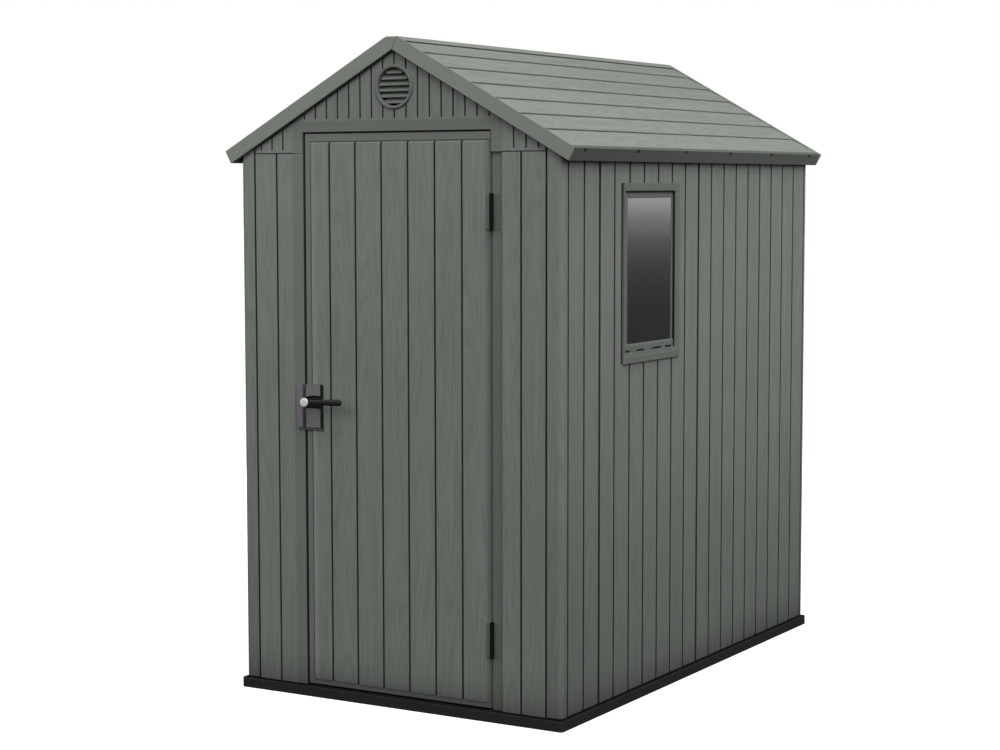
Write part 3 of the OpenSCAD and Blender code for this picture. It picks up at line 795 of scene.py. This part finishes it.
# Sides are given as left, foot, right, top
(_, WIN_Y0, WIN_Z0), (_, WIN_Y1, WIN_Z1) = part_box("window_frame")
WIN_FOOT = 6 * MM  # the frame stops this far over the opening's lower edge
FRAME_OUT, FRAME_IN = (0.0, WIN_FOOT, 0.0, 0.0), mm(9, 42, 32, 24.6)
WIN_PROUD = 6 * MM
SILL_PROUD = min(high("window_frame").x - HALF_W, 8.5 * MM)
PANE_OUT = high("window_pane").x - HALF_W
SHADOW_STRIP = mm(1, 0.5, 3.5, 4)  # black lining of the opening, which paints the shadow inside its edge
GASKET_IN = mm(28, 22, 12, 20.5)  # inner edge of the gasket, measured from the opening
RAIL_TALL, RAIL_PROUD, RAIL_SLOT = mm(24, 6, 5.5)
RAIL_SLOTS = ((0.06, 34), (0.32, 52), (0.66, 62), (0.90, 44))  # share of the rail's length, width in mm
opening = (WIN_Y0 + FRAME_IN[0], WIN_Z0 + FRAME_IN[1], WIN_Y1 - FRAME_IN[2], WIN_Z1 - FRAME_IN[3])


def shrunk(row, amount):
    return tuple(r - amount for r in row)


def window_frame():
    c = 1.5 * MM
    flange = (FLANGE,) * 4
    bm = bmesh.new()
    mitred(bm, right, (WIN_Y0, WIN_Z0, WIN_Y1, WIN_Z1), [
        (*FRAME_OUT, -EDGE), (*FRAME_OUT, WIN_PROUD - c), (*shrunk(FRAME_OUT, -c), WIN_PROUD),
        (*shrunk(FRAME_IN, c), WIN_PROUD), (*FRAME_IN, WIN_PROUD - c), (*FRAME_IN, -WALL_T),
        (*flange, -WALL_T), (*flange, -EDGE)])
    piece("window_frame_moulded", bm, WINDOW_TRIM, ("window_frame",))


def window_sill():
    """The sloped sill over the frame's foot; it draws back towards both ends."""
    foot, top = WIN_Z0 + WIN_FOOT + MM, WIN_Z0 + FRAME_IN[1] - 3 * MM
    behind = WIN_PROUD - MM
    section = [(behind, foot), (SILL_PROUD - MM, foot), (SILL_PROUD, foot + MM),
               (SILL_PROUD, WIN_Z0 + 27 * MM), (SILL_PROUD - MM, WIN_Z0 + 28.5 * MM),
               (WIN_PROUD + 0.5 * MM, top), (behind, top)]
    ends = [(WIN_Y0 + MM, -3.5 * MM), (WIN_Y0 + 2.5 * MM, -2 * MM), (WIN_Y0 + 9 * MM, 0.0),
            (WIN_Y1 - 14 * MM, 0.0), (WIN_Y1 - 10 * MM, -3.5 * MM)]
    rings = [[right(y, z, max(out + pull, behind)) for out, z in section] for y, pull in ends]
    lofted("window_sill", rings, WINDOW_TRIM, ("window_frame",))


# Painted shadow: a black strip round the opening's inside and a block at its foot stand in for the shadow
# there
def window_shadow_strip():
    bm = bmesh.new()
    mitred(bm, right, opening, [(0.0,) * 4 + (PANE_OUT,), (0.0,) * 4 + (WIN_PROUD - 1.2 * MM,),
                                (*SHADOW_STRIP, WIN_PROUD - 2 * MM), (*SHADOW_STRIP, PANE_OUT)])
    block(bm, right(opening[0] + 2 * MM, opening[1] + 0.5 * MM, PANE_OUT + 0.5 * MM),
          right(opening[2] - 5 * MM, opening[1] + 9 * MM, PANE_OUT + 3.4 * MM), 0.3 * MM)
    piece("window_shadow_strip", bm, BLACK, ("window_frame",))


def window_gasket():
    bm = bmesh.new()
    mitred(bm, right, opening, [
        (*SHADOW_STRIP, PANE_OUT), (*SHADOW_STRIP, PANE_OUT + 3 * MM), (*shrunk(GASKET_IN, 1.5 * MM), PANE_OUT + 3 * MM),
        (*GASKET_IN, PANE_OUT + MM), (*GASKET_IN, PANE_OUT)])
    piece("window_gasket", bm, GASKET, ("window_frame",))


def window_rail():
    """The lower rail, with drain slots along its foot."""
    y0, y1 = opening[0] + SHADOW_STRIP[0], opening[2] - SHADOW_STRIP[2]
    z0, z1 = opening[1], opening[1] + RAIL_TALL
    stops = [(y0, 0.0)]
    for place, width in RAIL_SLOTS:
        middle, half = y0 + (y1 - y0) * place, width * MM / 2
        a, b = max(middle - half, y0 + 2 * MM), min(middle + half, y1 - 2 * MM)
        stops += [(a, 0.0), (a, RAIL_SLOT), (b, RAIL_SLOT), (b, 0.0)]
    stops.append((y1, 0.0))
    back_out, out = PANE_OUT + 0.2 * MM, PANE_OUT + RAIL_PROUD
    rings = [[right(y, z0 + lift, back_out), right(y, z0 + lift, out), right(y, z1 - 5 * MM, out),
              right(y, z1, out - 2 * MM), right(y, z1, back_out)] for y, lift in stops]
    lofted("window_rail", rings, WINDOW_TRIM, ("window_frame",))


def window_pane():
    bm = bmesh.new()
    block(bm, *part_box("window_pane"), 0.4 * MM)
    finish = pane_with_painted_reflection("pane", "pane", opening[1] + GASKET_IN[1], opening[3] - GASKET_IN[3])
    piece("window_pane_acrylic", bm, finish, ("window_pane",))


window_frame()
window_sill()
window_shadow_strip()
window_gasket()
window_rail()
window_pane()

# ---- roof

BARGE_DROP = 7 * MM  # behind its face a front barge board stops this far under the roof's highest plane
BARGE_Y = low("barge_front_right").y  # face of the front barge boards
FRONT_LIP = 1.5 * MM  # thickness of their upstanding edge, against which the courses end
RAKE_GAP, RAKE_DEEP = mm(5, 6)  # channel beside the rear barge boards
LAP_DROP = 0.5 * MM  # a course's lower edge stands this far under the roof's highest plane
BUTT = 3.5 * MM  # visible thickness of a lapped edge
TUCK = 5 * MM  # how far the shadow gap reaches under it
CAP_END = 6 * MM  # height of the ridge cap's front end over the peak
JOINT_U, JOINT_GAP = EDGE_DEPTH * TAN, 0.9 * MM  # square joint between the front barge boards


def on_joint(u, z):
    """How far from the roof's plane the line square to it at u reaches a height."""
    return (z - RIDGE_Z + u * SIN) / COS


def at_y(points, y):
    return [at(x, y, z) for x, z in points]


def lap(u, drop, butt, tuck, next_v):
    return [(u - 0.8 * MM, -drop), (u, -drop - 0.8 * MM), (u, -drop - butt),
            (u - tuck, -drop - butt - 0.3 * MM), (u - tuck, next_v)]


def roof_panel(name, side):
    """Lapped courses from the ridge to the eave; at the front they run out over the barge boards."""
    next_v = -COURSE_T - 0.4 * MM
    eave_u = SLOPE_LEN - EAVE_T
    crown = high("roof_right").z - 0.4 * MM
    crown_x = (RIDGE_Z + next_v / COS - crown) / TAN
    top = [(CAP_EDGE - 8 * MM, next_v), (CAP_EDGE + 4 * MM, next_v + 1.2 * MM)]
    for k in range(COURSES):
        top += lap(FIRST_LAP + COURSE_PITCH * k, LAP_DROP, BUTT, TUCK, next_v)
    top.append((eave_u, -LAP_DROP))
    over, full = BARGE_DROP + 2 * MM, -UNDER_V  # thickness over a front barge board, and behind it
    rings = []
    for y, sunk, thick in ((BARGE_Y + FRONT_LIP, 0.0, over), (-HALF_D, 0.0, over), (-HALF_D, 0.0, full),
                           (HALF_D - RAKE_GAP, 0.0, full), (HALF_D - RAKE_GAP, RAKE_DEEP, full),
                           (HALF_D, RAKE_DEEP, full)):
        foot = min(RIDGE_Z - thick / COS, crown - 4 * MM)
        ring = [(0.0, crown), (side * crown_x, crown)] + [on_slope(u, v - sunk, side) for u, v in top]
        rings.append(at_y(ring + [on_slope(eave_u, -thick, side), (0.0, foot)], y))
    lofted(name + "_courses", rings, ROOF, (name,))


def ridge_cap():
    crown, under, under_v = high("ridge_cap").z, high("roof_right").z, -COURSE_T - 0.2 * MM
    half = [(CROWN_HALF - MM, crown), on_slope((CROWN_HALF + MM) / COS, 0.0)]
    half += [on_slope(u, v) for u, v in lap(CAP_EDGE, 0.2 * MM, 1.8 * MM, 9 * MM, under_v)]
    half.append(((RIDGE_Z + under_v / COS - under) / TAN, under))
    ring = half + [(-x, z) for x, z in reversed(half)]
    bm = bmesh.new()
    loft(bm, [at_y(ring, y) for y in (BARGE_Y + FRONT_LIP, HALF_D)])
    top_z, foot_z, joint = crown - 0.8 * MM, crown - CAP_END, JOINT_U - JOINT_GAP
    end = [on_slope(joint, on_joint(joint, foot_z)), on_slope(joint, on_joint(joint, top_z)),
           (-CROWN_HALF + MM, top_z), on_slope((RIDGE_Z - foot_z) / SIN, 0.0, -1)]
    slab(bm, end, lambda a, b, c: at(a, c, b), BARGE_Y + FRONT_LIP + MM, BARGE_Y)
    piece("ridge_cap_moulded", bm, ROOF, ("ridge_cap",))


def front_barge(side):
    """A straight board with a mitred lower end; the left board carries the peak."""
    reach = -HALF_D - BARGE_Y

    def outline(drop, y, trim):
        end_u = SLOPE_LEN - EAVE_T * (y - BARGE_Y) / reach - trim
        top_v, foot_v = -drop - trim, -EDGE_DEPTH + trim
        if side == "right":
            return [on_slope(u, v) for u, v in rectangle(JOINT_U + JOINT_GAP, top_v, end_u, foot_v)]
        u = JOINT_U - JOINT_GAP
        peak_z = high("ridge_cap").z - CAP_END - MM - drop - trim
        left_u = (RIDGE_Z + top_v * COS - peak_z) / SIN
        return [(-JOINT_GAP, RIDGE_Z + foot_v / COS - JOINT_GAP * TAN),
                on_slope(u, on_joint(u, peak_z)), on_slope(left_u, top_v, -1), on_slope(end_u, top_v, -1),
                on_slope(end_u, foot_v, -1)]

    trim, lip_y = MM, BARGE_Y + FRONT_LIP
    rows = [(BARGE_DROP, -HALF_D, 0.0), (BARGE_DROP, lip_y, 0.0), (0.0, lip_y, 0.0),
            (0.0, BARGE_Y + trim, 0.0), (0.0, BARGE_Y, trim)]
    name = "barge_front_" + side
    lofted(name + "_moulded", [at_y(outline(*row), row[1]) for row in rows], ROOF_TRIM, (name,))


roof_panel("roof_right", 1)
roof_panel("roof_left", -1)
ridge_cap()
softened("ridge_beam_steel", "ridge_beam", STEEL, MM)
for side in ("left", "right"):
    front_barge(side)
    softened("barge_rear_" + side + "_moulded", "barge_rear_" + side, ROOF_TRIM, 1.6 * MM)

# Eave trims with a screw recess at each fixing
NOTCH_HALF, NOTCH_TALL, NOTCH_DEEP = mm(8.5, 14, 4.5)
NOTCHES, NOTCH_FIRST, NOTCH_PITCH = 6, -853 * MM, 333.8 * MM


def eave(name, side):
    u0, u1 = SLOPE_LEN - EAVE_T, SLOPE_LEN
    r = 1.5 * MM

    def section(y, deep):
        points = [(u0, 0.0), (u1 - r, 0.0), (u1, -r), (u1 - deep, -r), (u1 - deep, -NOTCH_TALL),
                  (u1, -NOTCH_TALL), (u1, -EDGE_DEPTH + r), (u1 - r, -EDGE_DEPTH), (u0, -EDGE_DEPTH)]
        if not deep:
            points[3], points[4] = (u1, -r - MM), (u1, -NOTCH_TALL + MM)
        return at_y([on_slope(u, v, side) for u, v in points], y)

    # The outer face runs on to the barge board's face, the inner face stops at the wall
    start = section(BARGE_Y, 0.0)
    for p in (start[0], start[-1]):
        p.y = -HALF_D
    rings = [start]
    screws = bmesh.new()
    for k in range(NOTCHES):
        y = NOTCH_FIRST + NOTCH_PITCH * k
        for end, deep in ((-NOTCH_HALF, 0.0), (-NOTCH_HALF, NOTCH_DEEP), (NOTCH_HALF, NOTCH_DEEP),
                          (NOTCH_HALF, 0.0)):
            rings.append(section(y + end, deep))

        def place(a, b, h, y=y):
            x, z = on_slope(u1 - NOTCH_DEEP + h, -(NOTCH_TALL + r) / 2 + b, side)
            return at(x, y + a, z)

        turned(screws, [mm(6, -1), mm(6, 2.4), mm(5, 3.2), mm(1.2, 3.4)], place, 20)
    rings.append(section(HALF_D, 0.0))
    lofted(name + "_moulded", rings, PAINTED_SHADE_EAVE_TRIM, (name,))
    piece(name + "_screws", screws, BLACK, (name,), smooth_angle=30)


eave("eave_right", 1)
eave("eave_left", -1)

# ---- floor

TILE, FIRST_TILE = mm(240, 158)  # pitch of the cross channels, and the first one's distance from the seam
CHANNEL_HALF, CHANNEL_DEEP = mm(1.6, 8)
CHANNELS_X = mm(-363, -121, 121, 363)
WALL_CHANNEL_DEEP, WALL_CHANNEL_OUT = mm(7, 6.5)  # round the walls, out from their skin
WALL_CHANNEL_IN = FOOT_DEEP + MM


def floor_panel(name):
    (x0, y0, _), (x1, y1, z1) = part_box(name)
    obj = softened(name + "_moulded", name, FLOOR, 2.5 * MM)
    cutter = bmesh.new()

    def channel(a0, b0, a1, b1, deep):
        slab(cutter, rectangle(a0, b0, a1, b1), at, z1 - deep, z1 + deep)

    seam = high("floor_front").y
    for k in range(-4, 5):
        y = seam + FIRST_TILE + TILE * k if k >= 0 else seam - FIRST_TILE + TILE * (k + 1)
        if y0 < y < y1:
            channel(2 * x0, y - CHANNEL_HALF, 2 * x1, y + CHANNEL_HALF, CHANNEL_DEEP)
    outer_x, outer_y = HALF_W + WALL_CHANNEL_OUT, HALF_D + WALL_CHANNEL_OUT + 4 * MM
    inner_x, inner_y = HALF_W - WALL_CHANNEL_IN, HALF_D - WALL_CHANNEL_IN
    for a, b in ((inner_x, outer_x), (-outer_x, -inner_x)):
        channel(a, -outer_y, b, outer_y, WALL_CHANNEL_DEEP)
    for a, b in ((inner_y, outer_y), (-outer_y, -inner_y)):
        channel(-outer_x, a, outer_x, b, WALL_CHANNEL_DEEP)
    for x in CHANNELS_X:
        channel(x - CHANNEL_HALF, 2 * cad_low.y, x + CHANNEL_HALF, 2 * cad_high.y, CHANNEL_DEEP)
    carve(obj, cutter)


floor_panel("floor_front")
floor_panel("floor_rear")

# ---- door

# Widths of the flat rim, and of the slope from the channel up to the field, on each side of the door
SIDES = ("left", "foot", "right", "top")
RIM = dict(zip(SIDES, mm(18.7, 16.5, 0.6, 22)))
RIM_SLOPE = dict(zip(SIDES, mm(0.5, 0.3, 0.6, 4)))
FIELD_SLOPE = dict(zip(SIDES, mm(10, 12, 15, 4)))
FIELD_GAP = 0.3 * MM
FIELD_WALL, FIELD_RISE = mm(7, 1.5)  # raised edge down the latch side of the field
DOOR_SHADOW_T = 4.5 * MM


def door_rim():
    edge = MM
    outer, flat = (0.0,) * 4, (edge, edge, RIM["right"] / 2, edge)
    inner = tuple(RIM.values())
    channel = tuple(RIM[side] + RIM_SLOPE[side] for side in SIDES)
    bm = bmesh.new()
    mitred(bm, front, (DOOR_LEFT, DOOR_FOOT, DOOR_RIGHT, LEAF_HIGH.z), [
        (*outer, -LEAF_T), (*outer, -RIM_RECESS - edge), (*flat, -RIM_RECESS), (*inner, -RIM_RECESS),
        (*channel, -VALLEY), (*channel, -LEAF_T)])
    piece("door_leaf_rim", bm, TRIM, ("door_leaf",), "door")


def door_field():
    """The raised field of boards; its slopes run down to the channel, and the grooves run over them."""
    reach = {side: RIM[side] + RIM_SLOPE[side] + FIELD_GAP for side in SIDES}
    x0, x1 = DOOR_LEFT + reach["left"], DOOR_RIGHT - reach["right"]
    z0, z1 = DOOR_FOOT + reach["foot"], LEAF_HIGH.z - reach["top"]
    grooves = [DOOR_CENTRE + DOOR_PITCH * (k - (DOOR_GROOVES - 1) / 2) for k in range(DOOR_GROOVES)]
    stations = [(x0, -VALLEY, 0.0), (x0 + FIELD_WALL, FIELD_RISE, 0.0),
                (x0 + FIELD_WALL + FIELD_SLOPE["left"], 0.0, 0.0)]
    stations += [(t, skin, lining) for t, skin, _, lining in groove_stations(grooves, FRONT_GROOVE)]
    stations += [(x1 - FIELD_SLOPE["right"], 0.0, 0.0), (x1, -VALLEY, 0.0)]
    rings = []
    for t, skin, lining in stations:
        inner, channel = -LEAF_T + lining, min(skin, -VALLEY)
        rings.append([front(t, z, out) for z, out in (
            (z0, inner), (z0, min(skin, -MM)), (z0 + FIELD_SLOPE["foot"], skin),
            (z1 - FIELD_SLOPE["top"], skin), (z1, channel), (z1, inner))])
    lofted("door_leaf_boards", rings, DOOR_BOARDS, ("door_leaf",), "door")


def door_shadow_strip():
    """A dark strip down the latch side of the doorway, which paints the shadow in the gap beside the door.
    """
    bm = bmesh.new()
    block(bm, (-DOORWAY_HALF - 0.5 * MM, -HALF_D + 3 * MM, FLOOR_H + MM),
          (-DOORWAY_HALF + DOOR_SHADOW_T, -HALF_D + 16 * MM, LEAF_HIGH.z), 0.8 * MM)
    piece("door_shadow_strip", bm, BLACK, ("jamb_left",))


door_rim()
door_field()
door_shadow_strip()

# ---- hinges

BARREL_R, PIN_R = mm(6.2, 3)
BARREL_EDGE = 0.8 * MM
KNUCKLE_HALF, KNUCKLE_GAP = mm(20, 0.4)  # the door's knuckle sits between two of the frame's
LEAF_PLATE = MM
PLATE_IN = 3 * MM  # the leaves stop this far inside the barrel's ends
HINGE_X = LEAF_HIGH.x + 8 * MM
HINGE_Y = low("hinge_door_upper").y + BARREL_R


def knuckle(bm, z0, z1, r=BARREL_R):
    c = BARREL_EDGE
    turned(bm, [(r - c, z0), (r, z0 + c), (r, z1 - c), (r - c, z1)],
           lambda a, b, h: at(HINGE_X + a, HINGE_Y + b, h), 32)


def frame_hinge(node):
    (_, _, z0), (x1, y1, z1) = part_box(node)
    middle = (z0 + z1) / 2
    ends = ((z0, middle - KNUCKLE_HALF - KNUCKLE_GAP), (middle + KNUCKLE_HALF + KNUCKLE_GAP, z1))
    bm = bmesh.new()
    for a, b in ends:
        knuckle(bm, a, b)
    knuckle(bm, z0 + 2 * MM, z1 - 2 * MM, PIN_R)
    for a, b in ends:
        block(bm, (HINGE_X - 4 * MM, HINGE_Y, a + MM), (HINGE_X - 0.5 * MM, y1, b - MM), 0.5 * MM)
    piece(node + "_barrel", bm, HINGE_BLACK, (node,), "shed", 30)
    # Painted shade: the leaf takes the right jamb's darker trim
    bm = bmesh.new()
    block(bm, (HINGE_X - MM, y1 - LEAF_PLATE, z0 + PLATE_IN), (x1, y1, z1 - PLATE_IN), 0.3 * MM)
    piece(node + "_leaf", bm, PAINTED_SHADE_JAMB_TRIM, (node,), "shed")


def door_hinge(node, z0, z1):
    a, b = (z0 + z1) / 2 - KNUCKLE_HALF, (z0 + z1) / 2 + KNUCKLE_HALF
    bm = bmesh.new()
    knuckle(bm, a, b)
    piece(node + "_barrel", bm, HINGE_BLACK, (node,), "door", 30)
    # Painted shadow: the leaf is a darker copy of the trim
    bm = bmesh.new()
    plate_y = -HALF_D - LEAF_PLATE
    block(bm, (DOOR_RIGHT - 13 * MM, plate_y, z0 + PLATE_IN),
          (DOOR_RIGHT - 0.5 * MM, -HALF_D + VALLEY, z1 - PLATE_IN), 0.3 * MM)
    block(bm, (DOOR_RIGHT - 4 * MM, plate_y - 2 * MM, a),
          (HINGE_X - BARREL_R + 2 * MM, plate_y + MM, b), 0.6 * MM)
    piece(node + "_leaf", bm, SHADED_TRIM, (node,), "door")


for height in ("upper", "lower"):
    frame_node = "hinge_frame_" + height
    frame_hinge(frame_node)
    door_hinge("hinge_door_" + height, low(frame_node).z, high(frame_node).z)

# ---- lock

CASE_LOW, CASE_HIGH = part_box("lock_case")
CYL_LOW, CYL_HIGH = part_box("lock_cylinder")
LEVER_X, LEVER_Z = (CYL_LOW.x + CYL_HIGH.x) / 2, (CYL_LOW.z + CYL_HIGH.z) / 2
PLATE_OUT, BLOCK_OUT = mm(4, 12)  # faces of the back plate and of the plates round the lever
CASE_X0, CASE_X1 = CASE_LOW.x + 2 * MM, CASE_LOW.x + 61 * MM
PLATE_X0 = CASE_X0 + 5 * MM
LIFT_LOW, LIFT_HIGH = mm(7, 5)  # the case's and the keeper's ends are moved up, as in the photo
CASE_Z0, CASE_Z1 = CASE_LOW.z + LIFT_LOW, CASE_HIGH.z + LIFT_HIGH
PLATE_DROP = 9 * MM  # the back plates reach this far below
SLOT_LOW, SLOT_HIGH = LEVER_Z - 23 * MM, LEVER_Z + 12 * MM
ARM_T = 14 * MM
# Sections of the lever's arm: share of its length, half height and rise in millimetres
ARM = ((0.0, 8.0, 0.0), (0.10, 8.6, 0.0), (0.22, 8.4, 0.4), (0.40, 8.8, 1.2), (0.62, 9.6, 2.2),
       (0.82, 10.4, 3.0), (0.90, 10.4, 3.2), (0.95, 9.3, 3.3), (0.98, 7.0, 3.3), (0.995, 4.0, 3.3),
       (1.0, 1.5, 3.3))


def block_outlines():
    """The plates over and under the lever; the upper one's foot is a wave."""
    steps = 8
    upper = [(PLATE_X0, CASE_Z1), (PLATE_X0, SLOT_HIGH)]
    for k in range(1, steps + 1):
        s = k / steps
        wave = 6 * MM * sin(pi * min(s * 0.72, 1.0))
        upper.append((PLATE_X0 + (CASE_X1 - PLATE_X0) * s, SLOT_HIGH + wave))
    return upper + [(CASE_X1, CASE_Z1)], rectangle(PLATE_X0, CASE_Z0, CASE_X1, SLOT_LOW)


def lock_case():
    body, plates = bmesh.new(), bmesh.new()
    slab(body, rectangle(CASE_X0, CASE_Z0 - PLATE_DROP, CASE_X1 + 4.5 * MM, CASE_Z1), front, -RIM_RECESS,
         PLATE_OUT, 1.2 * MM)
    slab(body, rectangle(CASE_X0, CASE_Z0, PLATE_X0 + MM, CASE_Z1), front, PLATE_OUT - MM,
         BLOCK_OUT - 2 * MM, 0.6 * MM)
    for outline in block_outlines():
        slab(body, inset(outline, 0.5 * MM), front, PLATE_OUT - MM, BLOCK_OUT - 1.5 * MM)
        slab(plates, outline, front, BLOCK_OUT - 2 * MM, BLOCK_OUT, 0.8 * MM)
    slab(plates, rectangle(CASE_X0 + MM, CASE_Z0 - 8 * MM, CASE_X1 + 0.5 * MM, CASE_Z0 - MM), front,
         PLATE_OUT - MM, PLATE_OUT + 0.5 * MM, 0.4 * MM)
    piece("lock_case_body", body, BLACK, ("lock_case",), "door")
    piece("lock_case_plates", plates, LOCK_GREY, ("lock_case",), "door")


def keeper():
    (x0, _, z0), (x1, y1, z1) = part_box("keeper")
    x0, x1, z0, z1 = x0 + 3 * MM, x1 - MM, z0 + LIFT_LOW, z1 + LIFT_HIGH
    inner = -HALF_D - y1
    bm = bmesh.new()
    slab(bm, rectangle(x0, z0 - MM, x1, z1), front, inner, BLOCK_OUT, 1.5 * MM)
    slab(bm, rectangle(x0 + 0.5 * MM, z0 - PLATE_DROP, x1 - 0.5 * MM, z0), front, inner, PLATE_OUT,
         1.2 * MM)
    piece("keeper_moulded", bm, LOCK_GREY, ("keeper",), "shed")


def lever():
    length, hub_end = high("lever_handle").x - LEVER_X, CYL_HIGH.y
    bm = bmesh.new()
    turned(bm, [(10 * MM, -HALF_D - PLATE_OUT), (10 * MM, hub_end + 8 * MM), (11 * MM, hub_end + 5 * MM),
                (11 * MM, hub_end + 0.5 * MM)],
           lambda a, b, h: at(LEVER_X + a, h, LEVER_Z + b), 40)

    def squared(c):
        """Turns a circle into a rounded square."""
        return abs(c) ** 0.6 * (1 if c > 0 else -1)

    rings = []
    for along, half, rise in ARM:
        thick = ARM_T / 2 * min(1.0, half / 9.0)  # the arm thins towards its tip
        rings.append([at(LEVER_X + length * along, hub_end + ARM_T / 2 + thick * squared(c),
                         LEVER_Z + (rise + half * squared(s)) * MM) for c, s in circle(20)])
    loft(bm, rings)
    piece("lever_handle_moulded", bm, BLACK, ("lever_handle",), "lever", 40)


def lock_cylinder():
    """The cylinder's cap with a ring around its keyhole; h runs out from the lever's hub."""
    def place(a, b, h):
        return at(LEVER_X + a, CYL_HIGH.y - h, LEVER_Z + b)

    t = CYL_HIGH.y - CYL_LOW.y
    cap = bmesh.new()
    turned(cap, [(12.5 * MM, 0.0), (13.9 * MM, MM), (13.9 * MM, t - 3 * MM), (12.8 * MM, t - 1.2 * MM),
                 (7.6 * MM, t - 0.5 * MM), (7 * MM, t - 1.8 * MM), (6.2 * MM, t - 1.8 * MM),
                 (5.8 * MM, t - 0.4 * MM), (MM, t)], place, 56)
    obj = piece("lock_cylinder_cap", cap, CHROME, ("lock_cylinder",), "lever", 25)
    key = bmesh.new()
    block(key, place(-0.9 * MM, -3.8 * MM, t - 3 * MM), place(0.9 * MM, 3.8 * MM, t + 2 * MM), 0.3 * MM)
    carve(obj, key)


lock_case()
keeper()
lever()
lock_cylinder()

# ---- stage

WHITE = (1.0, 1.0, 1.0, 1.0)
STAGE_HALF, STAGE_Z = 60.0, -0.4 * MM  # the floor lies just under the shed
# Two broad glows of the studio: direction and strength
GLOWS = (((0.611, -0.714, 0.342), 1.04), ((0.418, -0.489, 0.766), 2.25))
# Soft lights: name, place, target, size and watts
SOFTBOXES = (("rear_right", (3.4, 1.5, 2.4), (0.58, 0.5, 1.2), 1.4, 48.0),
             ("right", (2.4, 0.0, 3.2), (0.6, 0.0, 1.4), 1.2, 13.0),
             ("front_high", (1.2, -2.2, 4.2), (0.3, -0.6, 1.8), 1.2, 34.0),
             ("front_left", (-2.2, -3.2, 2.6), (-0.3, -0.9, 1.2), 1.4, 32.0),
             ("rear_left", (-3.4, 3.8, 1.9), (-0.3, 0.4, 1.0), 1.8, 90.0))
# The camera at the photograph's viewing angle
YAW, PITCH, ROLL = -0.53487, -0.08808, -0.0011
LENS, CAMERA_PLACE = 77.54, (3.5999, -6.3613, 1.6065)


def seen(g):
    """1 for what the camera sees directly or through the pane."""
    ray = g.add("LightPath").outputs
    return g.larger(ray["Is Camera Ray"], ray["Is Transmission Ray"])


def diffuse(g, grey):
    return g.add("BsdfDiffuse", {"Color": (grey, grey, grey, 1.0)}).outputs[0]


def pale_floor():
    mesh = bpy.data.meshes.new("stage_floor")
    corners = rectangle(-STAGE_HALF, -STAGE_HALF, STAGE_HALF, STAGE_HALF)
    mesh.from_pydata([(x, y, STAGE_Z) for x, y in corners], [], [(0, 1, 2, 3)])
    material, g = new_material("stage_floor")
    direct = seen(g)
    glow = g.add("Emission", {"Color": WHITE, "Strength": 0.80}).outputs[0]
    lit = g.add("AddShader", {0: glow, 1: diffuse(g, 0.5)}).outputs[0]
    mixed = g.add("MixShader", {0: direct, 1: diffuse(g, 0.05), 2: lit}).outputs[0]
    g.add("OutputMaterial", {"Surface": mixed})
    mesh.materials.append(material)
    return new_object("stage_floor", mesh)


def studio():
    """Two broad glows from the front right, seen as plain white behind the object."""
    world = bpy.data.worlds.new("studio")
    bpy.context.scene.world = world
    g = Graph(world)
    direction = g.add("TexCoord").outputs["Generated"]
    strength = 0.0
    for glow_dir, glow_power in GLOWS:
        dot = g.add("VectorMath", {0: direction, 1: glow_dir}, operation="DOT_PRODUCT").outputs["Value"]
        lobe = g.math("POWER", g.larger(dot, 0.0), 4.0)
        strength = g.plus(g.times(lobe, glow_power), strength)
    direct = seen(g)
    sky = g.add("Background", {"Color": WHITE, "Strength": strength}).outputs[0]
    white = g.add("Background", {"Color": WHITE, "Strength": 1.0}).outputs[0]
    g.add("OutputWorld", {"Surface": g.add("MixShader", {0: direct, 1: sky, 2: white}).outputs[0]})


def softbox(name, place, target, size, watts):
    data = bpy.data.lights.new(name, "AREA")
    data.shape, data.size, data.energy = "SQUARE", size, watts
    obj = new_object(name, data)
    obj.location = place
    obj.rotation_mode = "QUATERNION"
    obj.rotation_quaternion = (Vector(target) - Vector(place)).to_track_quat("-Z", "Y")


def fitted_camera():
    data = bpy.data.cameras.new("camera")
    data.lens, data.sensor_width, data.sensor_fit = LENS, 36.0, "HORIZONTAL"
    data.clip_end = 200.0
    obj = new_object("camera", data)
    ahead = at(sin(YAW) * cos(PITCH), cos(YAW) * cos(PITCH), sin(PITCH))
    across = at(cos(YAW), -sin(YAW), 0.0)
    upward = across.cross(ahead)
    across, upward = across * cos(ROLL) + upward * sin(ROLL), upward * cos(ROLL) - across * sin(ROLL)
    turn = Matrix((across, upward, -ahead)).transposed().to_4x4()
    obj.matrix_world = Matrix.Translation(CAMERA_PLACE) @ turn
    return obj


stage_floor = pale_floor()
studio()
for lamp in SOFTBOXES:
    softbox(*lamp)
bpy.context.scene.camera = fitted_camera()
bpy.context.scene.view_settings.view_transform = "Standard"
